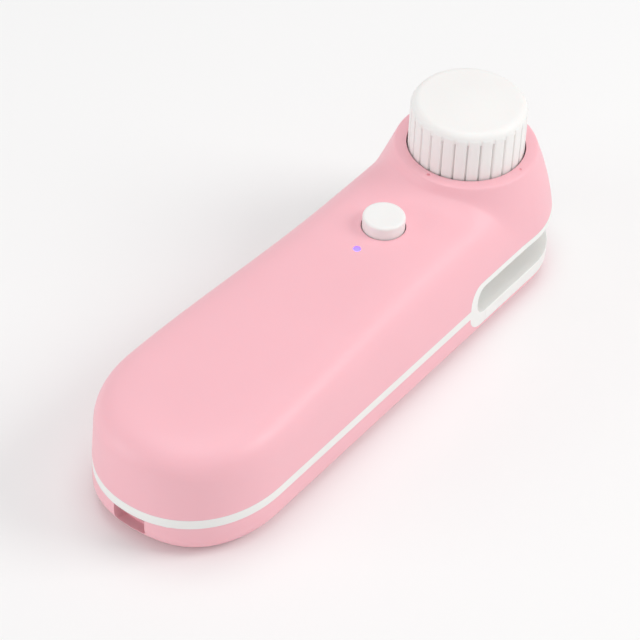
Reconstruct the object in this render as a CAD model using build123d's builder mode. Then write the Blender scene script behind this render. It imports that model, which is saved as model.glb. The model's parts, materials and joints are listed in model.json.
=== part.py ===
from build123d import *
import math
import os

# Handheld bag heat sealer: a long rounded body with a press-down sealing head at one end.
# +X runs from the tail to the head, +Z is up, and the origin is the centre of the underside.

# ---------------------------------------------------------------- overall size, millimetres
length = 162.0
half_width = 24.5
tail_length = 27.9
knob_x = length / 2 - half_width
tail_x = tail_length - length / 2
wall = 2.0

# Levels above the underside
floor_top = 2.0
jaw_bottom = 4.3
slot_floor = 8.3
band_bottom = 9.5
band_top = 12.3
slot_ceiling = 16.4
rim_top = 17.9
body_top = 31.8
collar_top = 36.4
knob_top = 50.9
base_radius = 5.0

# The nose below the slot stands back from the round head above it
lower_nose = 20.7

# Upper housing: the sides lean in towards the neck, and the head narrows to its collar
top_side_tail = 24.0
top_side_neck = 17.5
shoulder_radius = 8.5
head_mid_radius = 21.2
head_mid_level = 29.0
collar_radius = 18.6
collar_edge = 0.9

# Slot for the bag, open at the nose and on both sides
slot_end_x = 33.5
frame_x = 26.6
frame_corner = 5.5
band_depth = 2.2

# Knob and its travel
knob_radius = 15.2
knob_cap_radius = 15.0
knob_bottom = 34.8
fluted_top = 48.4
flutes = 28
flute_groove = (0.35, 0.5)
knob_inner_radius = knob_radius - 2.2
cap_edge = 1.7
cap_dome_rise = 0.3
collar_bore = knob_radius + 0.4
mark_ring = 16.9

# Press carriage
plate_bottom = 24.2
plate_top = 26.2
plate_radius = 18.6
bush_top = 31.8
bush_radius = 5.0
stem_radius = 3.0
running_gap = 0.05
flange_bottom = 39.5
flange_top = 41.0
web_top = 43.0
neck_stem_radius = 2.0
carrier_half = (4.0, 18.5)
carrier_bottom = 19.0
carrier_low_top = 21.0
shoe_half = (3.0, 18.0)
shoe_bottom = 17.0
ribbon_thick = 0.2
seal_face = 16.6
terminal_y = 16.8
window_gap = 0.4

# Button, indicator and main board
button_x = 20.4
button_radius = 5.5
button_top = 35.6
led_x = 9.1
board_bottom = 22.5
board_top = 23.7
board_ends = (-12.0, 32.5)
board_half_width = 13.0
switch_top = 27.2

# Cell and charging board
cell_radius = 9.1
sleeve_radius = 9.25
cell_ends = (-57.0, 8.0)
cell_level = 12.3
socket_level = 6.4
socket_half = (4.47, 1.63)
socket_ends = (-77.2, -69.9)
charge_board_ends = (-74.4, -61.0)

# Fasteners
case_screw_spots = [(-60.0, 16.5), (-60.0, -16.5), (18.0, 17.5), (18.0, -17.5)]
jaw_screw_spots = [(41.0, 13.0), (41.0, -13.0), (72.0, 0.0)]
board_post_spots = [(-9.0, 9.5), (-9.0, -9.5), (26.0, 9.5), (26.0, -9.5)]
plate_screw_ring = 16.9
plate_screw_angles = (20.0, 160.0, 200.0, 340.0)
plate_screw_spots = [
    (
        knob_x + plate_screw_ring * math.cos(math.radians(angle)),
        plate_screw_ring * math.sin(math.radians(angle)),
    )
    for angle in plate_screw_angles
]
case_screw_radius = 1.25
small_screw_radius = 0.9
case_head = (2.4, 4.0, 2.4)
jaw_head = (1.0, 2.3, 1.8)
inner_head = (1.2, 1.6)
knob_head = (web_top + 0.8, web_top + 2.2, 2.2)
case_post_radius = 3.0
board_post_radius = 2.1
plate_post_radius = 2.2
well_clearance = 0.2
terminal_radius = 0.8
terminal_head_radius = 1.1
pad_half = (5.0, 19.0)
mark_radius = 0.5
tail_recess_x = -77.4
tail_recess_half = 4.7
tail_recess_bottom = 4.0
light_pipe_radius = 1.0

knob_axis = Axis((knob_x, 0, 0), (0, 0, 1))


# ---------------------------------------------------------------- shared shapes
def plan(level, inset=0.0, side_tail=half_width, side_neck=half_width):
    """Plan outline at a level: half-ellipse tail, straight sides and round head."""
    with BuildSketch(Plane.XY.offset(level)) as sketch:
        with BuildLine():
            EllipticalCenterArc(
                (tail_x, 0), tail_length - half_width + side_tail - inset, side_tail - inset,
                start_angle=90, arc_size=180,
            )
            Line((tail_x, inset - side_tail), (knob_x, inset - side_neck))
            CenterArc((knob_x, 0), side_neck - inset, -90, 180)
            Line((knob_x, side_neck - inset), (tail_x, side_tail - inset))
        make_face()
    return sketch.sketch


def upper_form(inset=0.0):
    """Solid of the upper housing above the band, drawn in by inset on every wall."""
    with BuildPart() as form:
        lower = plan(band_top, inset)
        upper = plan(body_top - inset, inset, top_side_tail, top_side_neck)
        loft([lower, upper], ruled=True)
        fillet(form.faces().sort_by(Axis.Z)[-1].edges(), shoulder_radius - inset)
        rim = knob_x + half_width - inset
        lip = knob_x + collar_radius - inset
        with BuildSketch(Plane.XZ):
            with BuildLine():
                Line((knob_x, band_top), (rim, band_top))
                Spline(
                    (rim, band_top),
                    (knob_x + head_mid_radius - inset, head_mid_level),
                    (lip, collar_top - inset),
                    tangents=[(0, 1), (-0.4, 1)],
                )
                Line((lip, collar_top - inset), (knob_x, collar_top - inset))
                Line((knob_x, collar_top - inset), (knob_x, band_top))
            make_face()
        revolve(axis=knob_axis)
    return form.part


def lower_plan():
    """Plan outline of the lower half, whose nose is half an ellipse."""
    with BuildSketch() as sketch:
        with BuildLine():
            EllipticalCenterArc((tail_x, 0), tail_length, half_width, start_angle=90, arc_size=180)
            Line((tail_x, -half_width), (knob_x, -half_width))
            EllipticalCenterArc((knob_x, 0), lower_nose, half_width, start_angle=-90, arc_size=180)
            Line((knob_x, half_width), (tail_x, half_width))
        make_face()
    return sketch.sketch


def lower_form():
    """Solid of everything below the top of the band, with its rounded lower edge."""
    with BuildPart() as form:
        extrude(lower_plan(), amount=band_top)
        fillet(form.faces().sort_by(Axis.Z)[0].edges(), base_radius)
    return form.part


def frame_form():
    """Block that the slot frame and lower jaw are cut from, with its two rounded tail corners."""
    nose = length / 2 + 5
    with BuildPart() as form:
        with BuildSketch(Plane.XZ) as side:
            with BuildLine():
                Polyline(
                    (nose, jaw_bottom), (frame_x, jaw_bottom), (frame_x, rim_top), (nose, rim_top),
                    close=True,
                )
            make_face()
            fillet(side.vertices().group_by(Axis.X)[0], frame_corner)
        extrude(amount=half_width + 5, both=True)
    return form.part


def slot_form():
    """Space of the slot: flat floor and ceiling with a half-round tail end, open at the nose."""
    nose = length / 2 + 5
    end_radius = (slot_ceiling - slot_floor) / 2
    with BuildPart() as form:
        with BuildSketch(Plane.XZ) as side:
            with BuildLine():
                Line((slot_end_x, slot_floor), (nose, slot_floor))
                Line((nose, slot_floor), (nose, slot_ceiling))
                Line((nose, slot_ceiling), (slot_end_x, slot_ceiling))
                CenterArc((slot_end_x, slot_floor + end_radius), end_radius, 90, 180)
            make_face()
        extrude(amount=half_width + 5, both=True)
    return form.part


def box_between(low, high):
    """Box between two corners, kept out of the part being built until it is added."""
    size = [b - a for a, b in zip(low, high)]
    centre = [(a + b) / 2 for a, b in zip(low, high)]
    return Pos(*centre) * Box(*size, mode=Mode.PRIVATE)


def post(x, y, bottom, top, radius):
    """Upright cylinder between two levels."""
    return Pos(x, y, (bottom + top) / 2) * Cylinder(radius, top - bottom, mode=Mode.PRIVATE)


def screws(spots, head, shank):
    """Group of equal upright screws, each (bottom, top, radius) for its head and its shank."""
    head_radius = head[2]
    face = head[0] if head[0] < shank[0] else head[1]
    long_side = 1.2 * head_radius
    short_side = 0.35 * head_radius
    cross_depth = 0.6
    with BuildPart() as group:
        for x, y in spots:
            add(post(x, y, *head))
            add(post(x, y, *shank))
            for size_x, size_y in ((long_side, short_side), (short_side, long_side)):
                low = (x - size_x / 2, y - size_y / 2, face - cross_depth)
                high = (x + size_x / 2, y + size_y / 2, face + cross_depth)
                add(box_between(low, high), mode=Mode.SUBTRACT)
    return group.part


def lead(points, radius=0.6):
    """Insulated lead along straight runs joined by tangent arcs as large as the runs allow."""
    route = [Vector(*point) for point in points]
    corner_radii = []
    for before, here, after in zip(route, route[1:], route[2:]):
        first = here - before
        second = after - here
        turn = math.radians(first.get_angle(second))
        shorter = min(first.length, second.length)
        corner_radii.append(0.45 * shorter / math.tan(turn / 2))
    with BuildPart() as tube:
        with BuildLine() as path:
            FilletPolyline(*points, radius=corner_radii)
        with BuildSketch(Plane(origin=path.line @ 0, z_dir=path.line % 0)):
            Circle(radius)
        sweep()
    run = sum(edge.length for edge in path.edges())
    share = tube.part.volume / (math.pi * radius**2 * run)
    print("lead", round(run, 1), "volume share", round(share, 4), [round(r, 1) for r in corner_radii])
    return tube.part


os.makedirs("parts", exist_ok=True)
finished = {}


def finish(part, name):
    """Label a finished piece and write it as its own file."""
    part.label = name
    finished[name] = part
    export_step(part, f"parts/{name}.step")


# ---------------------------------------------------------------- housing: shells and white frame
whole_upper = upper_form()
whole_lower = lower_form()
frame_block = frame_form()
slot_space = slot_form()
upper_hollow = upper_form(wall)
lower_hollow = extrude(plan(floor_top, band_depth), amount=20)
band_hollow = extrude(plan(0, band_depth), amount=30)

with BuildPart() as upper_shell:
    add(whole_upper)
    fillet(upper_shell.faces().sort_by(Axis.Z)[-1].edges(), collar_edge)
    add(upper_hollow, mode=Mode.SUBTRACT)
    # Posts for the case screws, the board and the guide plate hang from the roof
    for x, y in case_screw_spots:
        add(post(x, y, band_top, collar_top, case_post_radius) & whole_upper)
    for x, y in board_post_spots:
        add(post(x, y, board_top, collar_top, board_post_radius) & whole_upper)
    for x, y in plate_screw_spots:
        add(post(x, y, plate_top, collar_top - 1.0, plate_post_radius) & whole_upper)
    add(frame_block, mode=Mode.SUBTRACT)
    add(post(knob_x, 0, plate_top, knob_top, collar_bore), mode=Mode.SUBTRACT)
    add(post(button_x, 0, band_top, knob_top, button_radius + 0.3), mode=Mode.SUBTRACT)
    add(post(led_x, 0, board_top, knob_top, light_pipe_radius), mode=Mode.SUBTRACT)
    for x, y in case_screw_spots:
        add(post(x, y, band_top, band_top + 9.0, case_screw_radius), mode=Mode.SUBTRACT)
    for x, y in board_post_spots:
        add(post(x, y, board_top, board_top + 4.0, small_screw_radius), mode=Mode.SUBTRACT)
    for x, y in plate_screw_spots:
        add(post(x, y, plate_top, plate_top + 4.0, small_screw_radius), mode=Mode.SUBTRACT)
    # Four small marks a quarter turn apart round the collar
    for quarter in range(4):
        angle = math.radians(90 * quarter)
        mark = Pos(knob_x + mark_ring * math.cos(angle), mark_ring * math.sin(angle), collar_top)
        add(mark * Sphere(mark_radius, mode=Mode.PRIVATE), mode=Mode.SUBTRACT)
finish(upper_shell.part, "upper_shell")

with BuildPart() as lower_shell:
    add(whole_lower)
    add(box_between((-100, -30, band_bottom), (100, 30, 20)), mode=Mode.SUBTRACT)
    add(lower_hollow & box_between((-100, -30, 0), (frame_x - 2.0, 30, 30)), mode=Mode.SUBTRACT)
    add(frame_block, mode=Mode.SUBTRACT)
    # Thicker tail wall that the charging socket passes through, set back in a shallow recess
    tail_block = box_between((tail_recess_x, -6.5, floor_top), (tail_recess_x + 2.2, 6.5, band_bottom))
    add(tail_block & whole_lower)
    recess_low = (-90, -tail_recess_half, tail_recess_bottom)
    add(box_between(recess_low, (tail_recess_x, tail_recess_half, 12)), mode=Mode.SUBTRACT)
    with BuildSketch(Plane.YZ.offset(tail_recess_x - 1)):
        with Locations((0, socket_level)):
            SlotOverall(2 * socket_half[0], 2 * socket_half[1])
    extrude(amount=6, mode=Mode.SUBTRACT)
    for x, y in case_screw_spots:
        add(post(x, y, floor_top, band_top, case_post_radius))
        add(post(x, y, -1, band_top + 1, case_screw_radius), mode=Mode.SUBTRACT)
        add(post(x, y, -1, case_head[1], case_head[2] + well_clearance), mode=Mode.SUBTRACT)
    for x, y in jaw_screw_spots:
        add(post(x, y, -1, 10, small_screw_radius), mode=Mode.SUBTRACT)
        add(post(x, y, -1, jaw_head[1], jaw_head[2] + well_clearance), mode=Mode.SUBTRACT)
    # Rails under the charging board
    for y in (-7.0, 7.0):
        add(box_between((-74, y - 1, floor_top), (-62, y + 1, socket_level - socket_half[1] - 1.2)))
finish(lower_shell.part, "lower_shell")

with BuildPart() as trim_frame:
    add(whole_lower)
    add(box_between((-100, -30, -1), (100, 30, band_bottom)), mode=Mode.SUBTRACT)
    add(band_hollow & box_between((-100, -30, 0), (frame_x, 30, 30)), mode=Mode.SUBTRACT)
    add(whole_lower & frame_block)
    add(whole_upper & frame_block)
    add(slot_space, mode=Mode.SUBTRACT)
    add(box_between((slot_end_x, -30, -1), (100, 30, slot_floor + 0.5)), mode=Mode.SUBTRACT)
    window = (carrier_half[0] + window_gap, carrier_half[1] + window_gap)
    add(
        box_between((knob_x - window[0], -window[1], 12), (knob_x + window[0], window[1], 30)),
        mode=Mode.SUBTRACT,
    )
finish(trim_frame.part, "trim_frame")

with BuildPart() as lower_jaw:
    add(whole_lower & frame_block)
    add(box_between((-100, -30, 0), (slot_end_x, 30, 30)), mode=Mode.SUBTRACT)
    add(box_between((-100, -30, slot_floor), (100, 30, 30)), mode=Mode.SUBTRACT)
    groove_low = (knob_x - pad_half[0], -pad_half[1], slot_floor - 1)
    add(box_between(groove_low, (knob_x + pad_half[0], pad_half[1], 12)), mode=Mode.SUBTRACT)
    for x, y in jaw_screw_spots:
        add(post(x, y, 0, slot_floor - 0.8, small_screw_radius), mode=Mode.SUBTRACT)
finish(lower_jaw.part, "lower_jaw")

with BuildPart() as pressure_pad:
    add(box_between(groove_low, (knob_x + pad_half[0], pad_half[1], slot_floor + 0.8)))
    fillet(pressure_pad.faces().sort_by(Axis.Z)[-1].edges(), 0.5)
finish(pressure_pad.part, "pressure_pad")

with BuildPart() as heat_shield:
    add(box_between((knob_x - 9, -20.2, rim_top), (knob_x + 9, 20.2, rim_top + 0.4)))
    add(
        box_between(
            (knob_x - window[0], -window[1], rim_top - 1), (knob_x + window[0], window[1], rim_top + 1)
        ),
        mode=Mode.SUBTRACT,
    )
    fillet(heat_shield.edges().filter_by(Axis.Z).group_by(Axis.X)[0], 2.0)
    fillet(heat_shield.edges().filter_by(Axis.Z).group_by(Axis.X)[-1], 2.0)
finish(heat_shield.part, "heat_shield")

# ---------------------------------------------------------------- fasteners of the housing
case_shank = (case_head[1], band_top + 8.5, case_screw_radius)
finish(screws(case_screw_spots, case_head, case_shank), "case_screws")
jaw_shank = (jaw_head[1], slot_floor - 1.0, small_screw_radius)
finish(screws(jaw_screw_spots, jaw_head, jaw_shank), "jaw_screws")
board_head = (board_bottom - inner_head[0], board_bottom, inner_head[1])
board_shank = (board_bottom, board_top + 3.5, small_screw_radius)
finish(screws(board_post_spots, board_head, board_shank), "board_screws")
plate_head = (plate_bottom - inner_head[0], plate_bottom, inner_head[1])
plate_shank = (plate_bottom, plate_top + 3.5, small_screw_radius)
finish(screws(plate_screw_spots, plate_head, plate_shank), "plate_screws")

# ---------------------------------------------------------------- guide of the press carriage
with BuildPart() as guide_plate:
    add(post(knob_x, 0, plate_bottom, plate_top, plate_radius))
    add(post(knob_x, 0, plate_bottom - 1, plate_top + 1, bush_radius), mode=Mode.SUBTRACT)
    for x, y in plate_screw_spots:
        add(post(x, y, plate_bottom - 1, plate_top + 1, small_screw_radius), mode=Mode.SUBTRACT)
    for y in (-terminal_y, terminal_y):
        add(post(knob_x, y, plate_bottom - 1, plate_top + 1, terminal_radius), mode=Mode.SUBTRACT)
finish(guide_plate.part, "guide_plate")

with BuildPart() as guide_bush:
    add(post(knob_x, 0, plate_bottom, bush_top, bush_radius))
    add(post(knob_x, 0, plate_bottom - 1, bush_top + 1, stem_radius + running_gap), mode=Mode.SUBTRACT)
finish(guide_bush.part, "guide_bush")

with BuildPart() as lead_terminals:
    for y in (-terminal_y, terminal_y):
        add(post(knob_x, y, plate_bottom, plate_top, terminal_radius))
        add(post(knob_x, y, plate_top, plate_top + 0.3, terminal_head_radius))
finish(lead_terminals.part, "lead_terminals")

# ---------------------------------------------------------------- press carriage
with BuildPart() as plunger_stem:
    add(post(knob_x, 0, carrier_low_top + 1.0, flange_bottom, stem_radius))
    add(post(knob_x, 0, flange_bottom, flange_top, 8.0))
    add(post(knob_x, 0, flange_top, web_top + 0.1, neck_stem_radius))
    add(post(knob_x, 0, web_top - 4.0, web_top + 1, small_screw_radius), mode=Mode.SUBTRACT)
finish(plunger_stem.part, "plunger_stem")

with BuildPart() as heater_carrier:
    add(
        box_between(
            (knob_x - carrier_half[0], -carrier_half[1], carrier_bottom),
            (knob_x + carrier_half[0], carrier_half[1], carrier_low_top),
        )
    )
    add(box_between((knob_x - 4, -7, carrier_low_top), (knob_x + 4, 7, plate_bottom - 0.2)))
    add(post(knob_x, 0, carrier_low_top + 1.0, 30, stem_radius), mode=Mode.SUBTRACT)
    for y in (-terminal_y, terminal_y):
        add(post(knob_x, y, 10, 30, terminal_radius), mode=Mode.SUBTRACT)
    for y in (-11.0, 11.0):
        add(post(knob_x, y, 10, 30, small_screw_radius), mode=Mode.SUBTRACT)
    add(box_between((knob_x - 1.5, 3, 18), (knob_x + 1.5, 5, carrier_bottom + 1.2)), mode=Mode.SUBTRACT)
finish(heater_carrier.part, "heater_carrier")

with BuildPart() as heater_shoe:
    add(
        box_between(
            (knob_x - shoe_half[0], -shoe_half[1], shoe_bottom),
            (knob_x + shoe_half[0], shoe_half[1], carrier_bottom),
        )
    )
    for y in (-11.0, 11.0):
        add(post(knob_x, y, shoe_bottom + 0.5, 30, small_screw_radius), mode=Mode.SUBTRACT)
finish(heater_shoe.part, "heater_shoe")

with BuildPart() as heater_ribbon:
    add(
        box_between(
            (knob_x - 1.5, -shoe_half[1] + 0.3, shoe_bottom - ribbon_thick),
            (knob_x + 1.5, shoe_half[1] - 0.3, shoe_bottom),
        )
    )
finish(heater_ribbon.part, "heater_ribbon")

with BuildPart() as nonstick_cover:
    add(
        box_between(
            (knob_x - shoe_half[0] - 0.25, -shoe_half[1] - 0.2, seal_face),
            (knob_x + shoe_half[0] + 0.25, shoe_half[1] + 0.2, carrier_bottom),
        )
    )
    fillet(nonstick_cover.edges().filter_by(Axis.Y).group_by(Axis.Z)[0], 0.2)
    add(
        box_between(
            (knob_x - shoe_half[0], -shoe_half[1], shoe_bottom - ribbon_thick),
            (knob_x + shoe_half[0], shoe_half[1], carrier_bottom + 1),
        ),
        mode=Mode.SUBTRACT,
    )
finish(nonstick_cover.part, "nonstick_cover")

carrier_screw_spots = [(knob_x, -11.0), (knob_x, 11.0)]
finish(
    screws(
        carrier_screw_spots,
        (carrier_low_top, carrier_low_top + 1.2, 1.7),
        (shoe_bottom + 0.8, carrier_low_top, small_screw_radius),
    ),
    "carrier_screws",
)

with BuildPart() as heater_terminals:
    for y in (-terminal_y, terminal_y):
        add(post(knob_x, y, carrier_bottom, carrier_low_top, terminal_radius))
        add(post(knob_x, y, carrier_low_top, carrier_low_top + 0.4, terminal_head_radius))
finish(heater_terminals.part, "heater_terminals")

with BuildPart() as temperature_sensor:
    add(box_between((knob_x - 1.4, 3.1, carrier_bottom), (knob_x + 1.4, 4.9, carrier_bottom + 1.1)))
    fillet(temperature_sensor.edges().filter_by(Axis.Z), 0.4)
finish(temperature_sensor.part, "temperature_sensor")


def coil(x, y, bottom, top, coil_radius, wire_radius, turns):
    """Round-wire coil about an upright line, its wire's centre ends one wire radius inside."""
    pitch = (top - bottom - 2 * wire_radius) / turns
    with BuildPart() as wound:
        with BuildLine() as path:
            Helix(pitch, pitch * turns, coil_radius, center=(x, y, bottom + wire_radius))
        with BuildSketch(Plane(origin=path.line @ 0, z_dir=path.line % 0)):
            Circle(wire_radius)
        sweep(is_frenet=True)
    return wound.part


finish(coil(knob_x, 0, plate_top, flange_bottom, 6.6, 0.45, 4.5), "return_spring")

with BuildPart() as heater_pigtails:
    for y in (-terminal_y, terminal_y):
        add(coil(knob_x, y, carrier_low_top + 0.4, plate_bottom, 0.8, 0.25, 3.5))
finish(heater_pigtails.part, "heater_pigtails")

# ---------------------------------------------------------------- knob
with BuildPart() as knob:
    with BuildSketch(Plane.XY.offset(knob_bottom)):
        with Locations((knob_x, 0)):
            RegularPolygon(knob_radius, flutes)
    extrude(amount=fluted_top - knob_bottom)
    # A narrow groove at each corner of the polygon
    groove_half, groove_depth = flute_groove
    with BuildSketch(Plane.XY.offset(knob_bottom - 1)):
        with Locations((knob_x, 0)):
            with PolarLocations(0, flutes):
                with BuildLine():
                    Polyline(
                        (knob_radius + 0.2, -groove_half), (knob_radius - groove_depth, 0),
                        (knob_radius + 0.2, groove_half), close=True,
                    )
                make_face()
    extrude(amount=fluted_top - knob_bottom + 2, mode=Mode.SUBTRACT)
    add(post(knob_x, 0, 30, flange_top, knob_inner_radius), mode=Mode.SUBTRACT)
    add(post(knob_x, 0, web_top, 50, knob_inner_radius), mode=Mode.SUBTRACT)
    add(post(knob_x, 0, 30, 50, neck_stem_radius + running_gap), mode=Mode.SUBTRACT)
finish(knob.part, "knob")

with BuildPart() as knob_cap:
    add(post(knob_x, 0, fluted_top, knob_top - cap_dome_rise, knob_cap_radius))
    fillet(knob_cap.faces().sort_by(Axis.Z)[-1].edges(), cap_edge)
    dome_base = knob_cap_radius - cap_edge
    dome_radius = (dome_base**2 + cap_dome_rise**2) / (2 * cap_dome_rise)
    cap_dome = Pos(knob_x, 0, knob_top - dome_radius) * Sphere(dome_radius, mode=Mode.PRIVATE)
    add(cap_dome & post(knob_x, 0, knob_top - 1.2, knob_top + 1, dome_base))
    add(post(knob_x, 0, web_top + 1.4, fluted_top, knob_inner_radius))
    add(post(knob_x, 0, 40, fluted_top + 0.9, knob_inner_radius - 1.6), mode=Mode.SUBTRACT)
finish(knob_cap.part, "knob_cap")

with BuildPart() as knob_washer:
    add(post(knob_x, 0, web_top + 0.1, web_top + 0.8, 4.5))
    add(post(knob_x, 0, 40, 50, small_screw_radius), mode=Mode.SUBTRACT)
finish(knob_washer.part, "knob_washer")
knob_shank = (web_top - 3.8, knob_head[0], small_screw_radius)
finish(screws([(knob_x, 0)], knob_head, knob_shank), "knob_screw")

# ---------------------------------------------------------------- power button
with BuildPart() as power_button:
    add(post(button_x, 0, body_top - wall - 1.3, button_top, button_radius))
    fillet(power_button.faces().sort_by(Axis.Z)[-1].edges(), 0.5)
    add(post(button_x, 0, body_top - wall - 1.3, body_top - wall - 0.1, button_radius + 1.3))
    add(post(button_x, 0, switch_top + 0.8, body_top - wall - 1.3, 2.0))
finish(power_button.part, "power_button")

with BuildPart() as switch_plunger:
    add(post(button_x, 0, switch_top - 0.15, switch_top + 0.8, 1.7))
finish(switch_plunger.part, "switch_plunger")

with BuildPart() as tact_switch:
    add(box_between((button_x - 3, -3, board_top), (button_x + 3, 3, switch_top)))
    fillet(tact_switch.edges().filter_by(Axis.Z), 0.4)
    add(post(button_x, 0, switch_top - 0.7, 30, 1.75), mode=Mode.SUBTRACT)
finish(tact_switch.part, "tact_switch")

# ---------------------------------------------------------------- boards and indicator
with BuildPart() as main_board:
    board_low = (board_ends[0], -board_half_width, board_bottom)
    add(box_between(board_low, (board_ends[1], board_half_width, board_top)))
    fillet(main_board.edges().filter_by(Axis.Z), 2.0)
    for x, y in board_post_spots:
        add(post(x, y, 20, 30, small_screw_radius), mode=Mode.SUBTRACT)
finish(main_board.part, "main_board")

with BuildPart() as board_chips:
    add(box_between((-3, -3, board_top), (3, 3, board_top + 1.0)))
    add(box_between((-6, 5, board_top), (-2, 9, board_top + 2.0)))
    add(box_between((12, -8, board_top), (15, -5, board_top + 1.2)))
    add(box_between((13, 5, board_top), (15, 6.2, board_top + 0.8)))
    add(box_between((4, 6, board_top), (6, 7.2, board_top + 0.8)))
finish(board_chips.part, "board_chips")

with BuildPart() as indicator_led:
    add(box_between((led_x - 1.6, -1.4, board_top), (led_x + 1.6, 1.4, board_top + 1.1)))
finish(indicator_led.part, "indicator_led")

with BuildPart() as light_pipe:
    add(post(led_x, 0, board_top + 1.3, body_top - 0.1, light_pipe_radius))
    add(post(led_x, 0, board_top + 1.3, board_top + 2.5, 1.6))
finish(light_pipe.part, "light_pipe")

charge_board_top = socket_level - socket_half[1]
with BuildPart() as charge_board:
    charge_board_low = (charge_board_ends[0], -8, charge_board_top - 1.2)
    add(box_between(charge_board_low, (charge_board_ends[1], 8, charge_board_top)))
finish(charge_board.part, "charge_board")

with BuildPart() as charging_socket:
    with BuildSketch(Plane.YZ.offset(socket_ends[0])):
        with Locations((0, socket_level)):
            SlotOverall(2 * socket_half[0], 2 * socket_half[1])
            SlotOverall(2 * socket_half[0] - 0.6, 2 * socket_half[1] - 0.6, mode=Mode.SUBTRACT)
    extrude(amount=socket_ends[1] - socket_ends[0])
    with BuildSketch(Plane.YZ.offset(socket_ends[1] - 1.0)):
        with Locations((0, socket_level)):
            SlotOverall(2 * socket_half[0], 2 * socket_half[1])
    extrude(amount=1.0)
    tongue_low = (socket_ends[0] + 0.8, -3.3, socket_level - 0.35)
    add(box_between(tongue_low, (socket_ends[1] - 1.0, 3.3, socket_level + 0.35)))
finish(charging_socket.part, "charging_socket")

with BuildPart() as charge_chip:
    add(box_between((-69, -2.5, charge_board_top), (-64, 2.5, charge_board_top + 1.4)))
finish(charge_chip.part, "charge_chip")

# ---------------------------------------------------------------- cell and its cradle


def along_x(radius, start, end, level=cell_level):
    """Cylinder lying along X between two stations."""
    lying = Cylinder(radius, end - start, rotation=(0, 90, 0), mode=Mode.PRIVATE)
    return Pos((start + end) / 2, 0, level) * lying


with BuildPart() as battery_cell:
    add(along_x(cell_radius, *cell_ends))
    add(along_x(3.0, cell_ends[1], cell_ends[1] + 0.8))
finish(battery_cell.part, "battery_cell")

with BuildPart() as battery_sleeve:
    add(along_x(sleeve_radius, *cell_ends))
    add(along_x(cell_radius, *cell_ends), mode=Mode.SUBTRACT)
finish(battery_sleeve.part, "battery_sleeve")

with BuildPart() as battery_tabs:
    add(box_between((cell_ends[1] + 0.8, -3, 9), (cell_ends[1] + 1.1, 3, 16)))
    add(box_between((cell_ends[0] - 0.3, -3, 9), (cell_ends[0], 3, 16)))
finish(battery_tabs.part, "battery_tabs")

with BuildPart() as battery_cradle:
    add(box_between((-50, -8, floor_top), (0, 8, floor_top + 0.9)))
    for start in (-50.0, -8.0):
        add(box_between((start, -12, floor_top), (start + 8, 12, 9.5)))
    add(along_x(sleeve_radius, *cell_ends), mode=Mode.SUBTRACT)
finish(battery_cradle.part, "battery_cradle")

# ---------------------------------------------------------------- leads, held along their routes
lead_routes = {
    "battery_lead_positive": [
        (9.3, 1.5, 14.5), (12.5, 2.0, 15.2), (14.3, 3.2, 18.2), (14.5, 3.4, 22.3),
    ],
    "battery_lead_negative": [
        (-57.8, 1.9, 14.5), (-60.0, 5.0, 15.5), (-56.5, 10.8, 17.5), (-46.0, 12.4, 18.6),
        (-30.0, 12.2, 18.3), (-16.0, 11.2, 18.8), (-7.5, 7.0, 19.8), (-4.0, 4.0, 22.0),
    ],
    "charge_lead_negative": [
        (-61.6, -3.2, 5.4), (-59.4, -7.0, 8.0), (-55.5, -11.4, 12.0), (-46.0, -12.5, 15.2),
        (-30.0, -12.4, 17.4), (-16.0, -11.4, 18.4), (-6.5, -7.6, 19.3), (-1.0, -4.0, 22.0),
    ],
    "charge_lead_positive": [
        (-63.4, -4.8, 5.4), (-60.8, -9.2, 8.2), (-56.3, -13.0, 12.8), (-46.0, -14.1, 16.2),
        (-30.0, -13.8, 18.4), (-16.0, -13.2, 19.4), (-7.0, -9.9, 19.9), (-2.0, -6.4, 22.0),
    ],
}
for name, route in lead_routes.items():
    finish(lead(route), name)
for sign, name in ((1, "heater_lead_positive"), (-1, "heater_lead_negative")):
    heater_route = [
        (knob_x, sign * terminal_y, plate_top + 0.9), (50.6, sign * 16.9, 27.2),
        (45.2, sign * 14.2, 27.2), (38.6, sign * 10.6, 26.6), (31.6, sign * 8.6, 25.2),
        (29.5, sign * 8.0, 24.5),
    ]
    finish(lead(heater_route), name)
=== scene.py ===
import json
import logging
import math
from dataclasses import dataclass, field
from enum import Enum
from typing import Callable, Iterable, Sequence

import bmesh
import bpy
import numpy as np
from mathutils import Matrix, Vector

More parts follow.
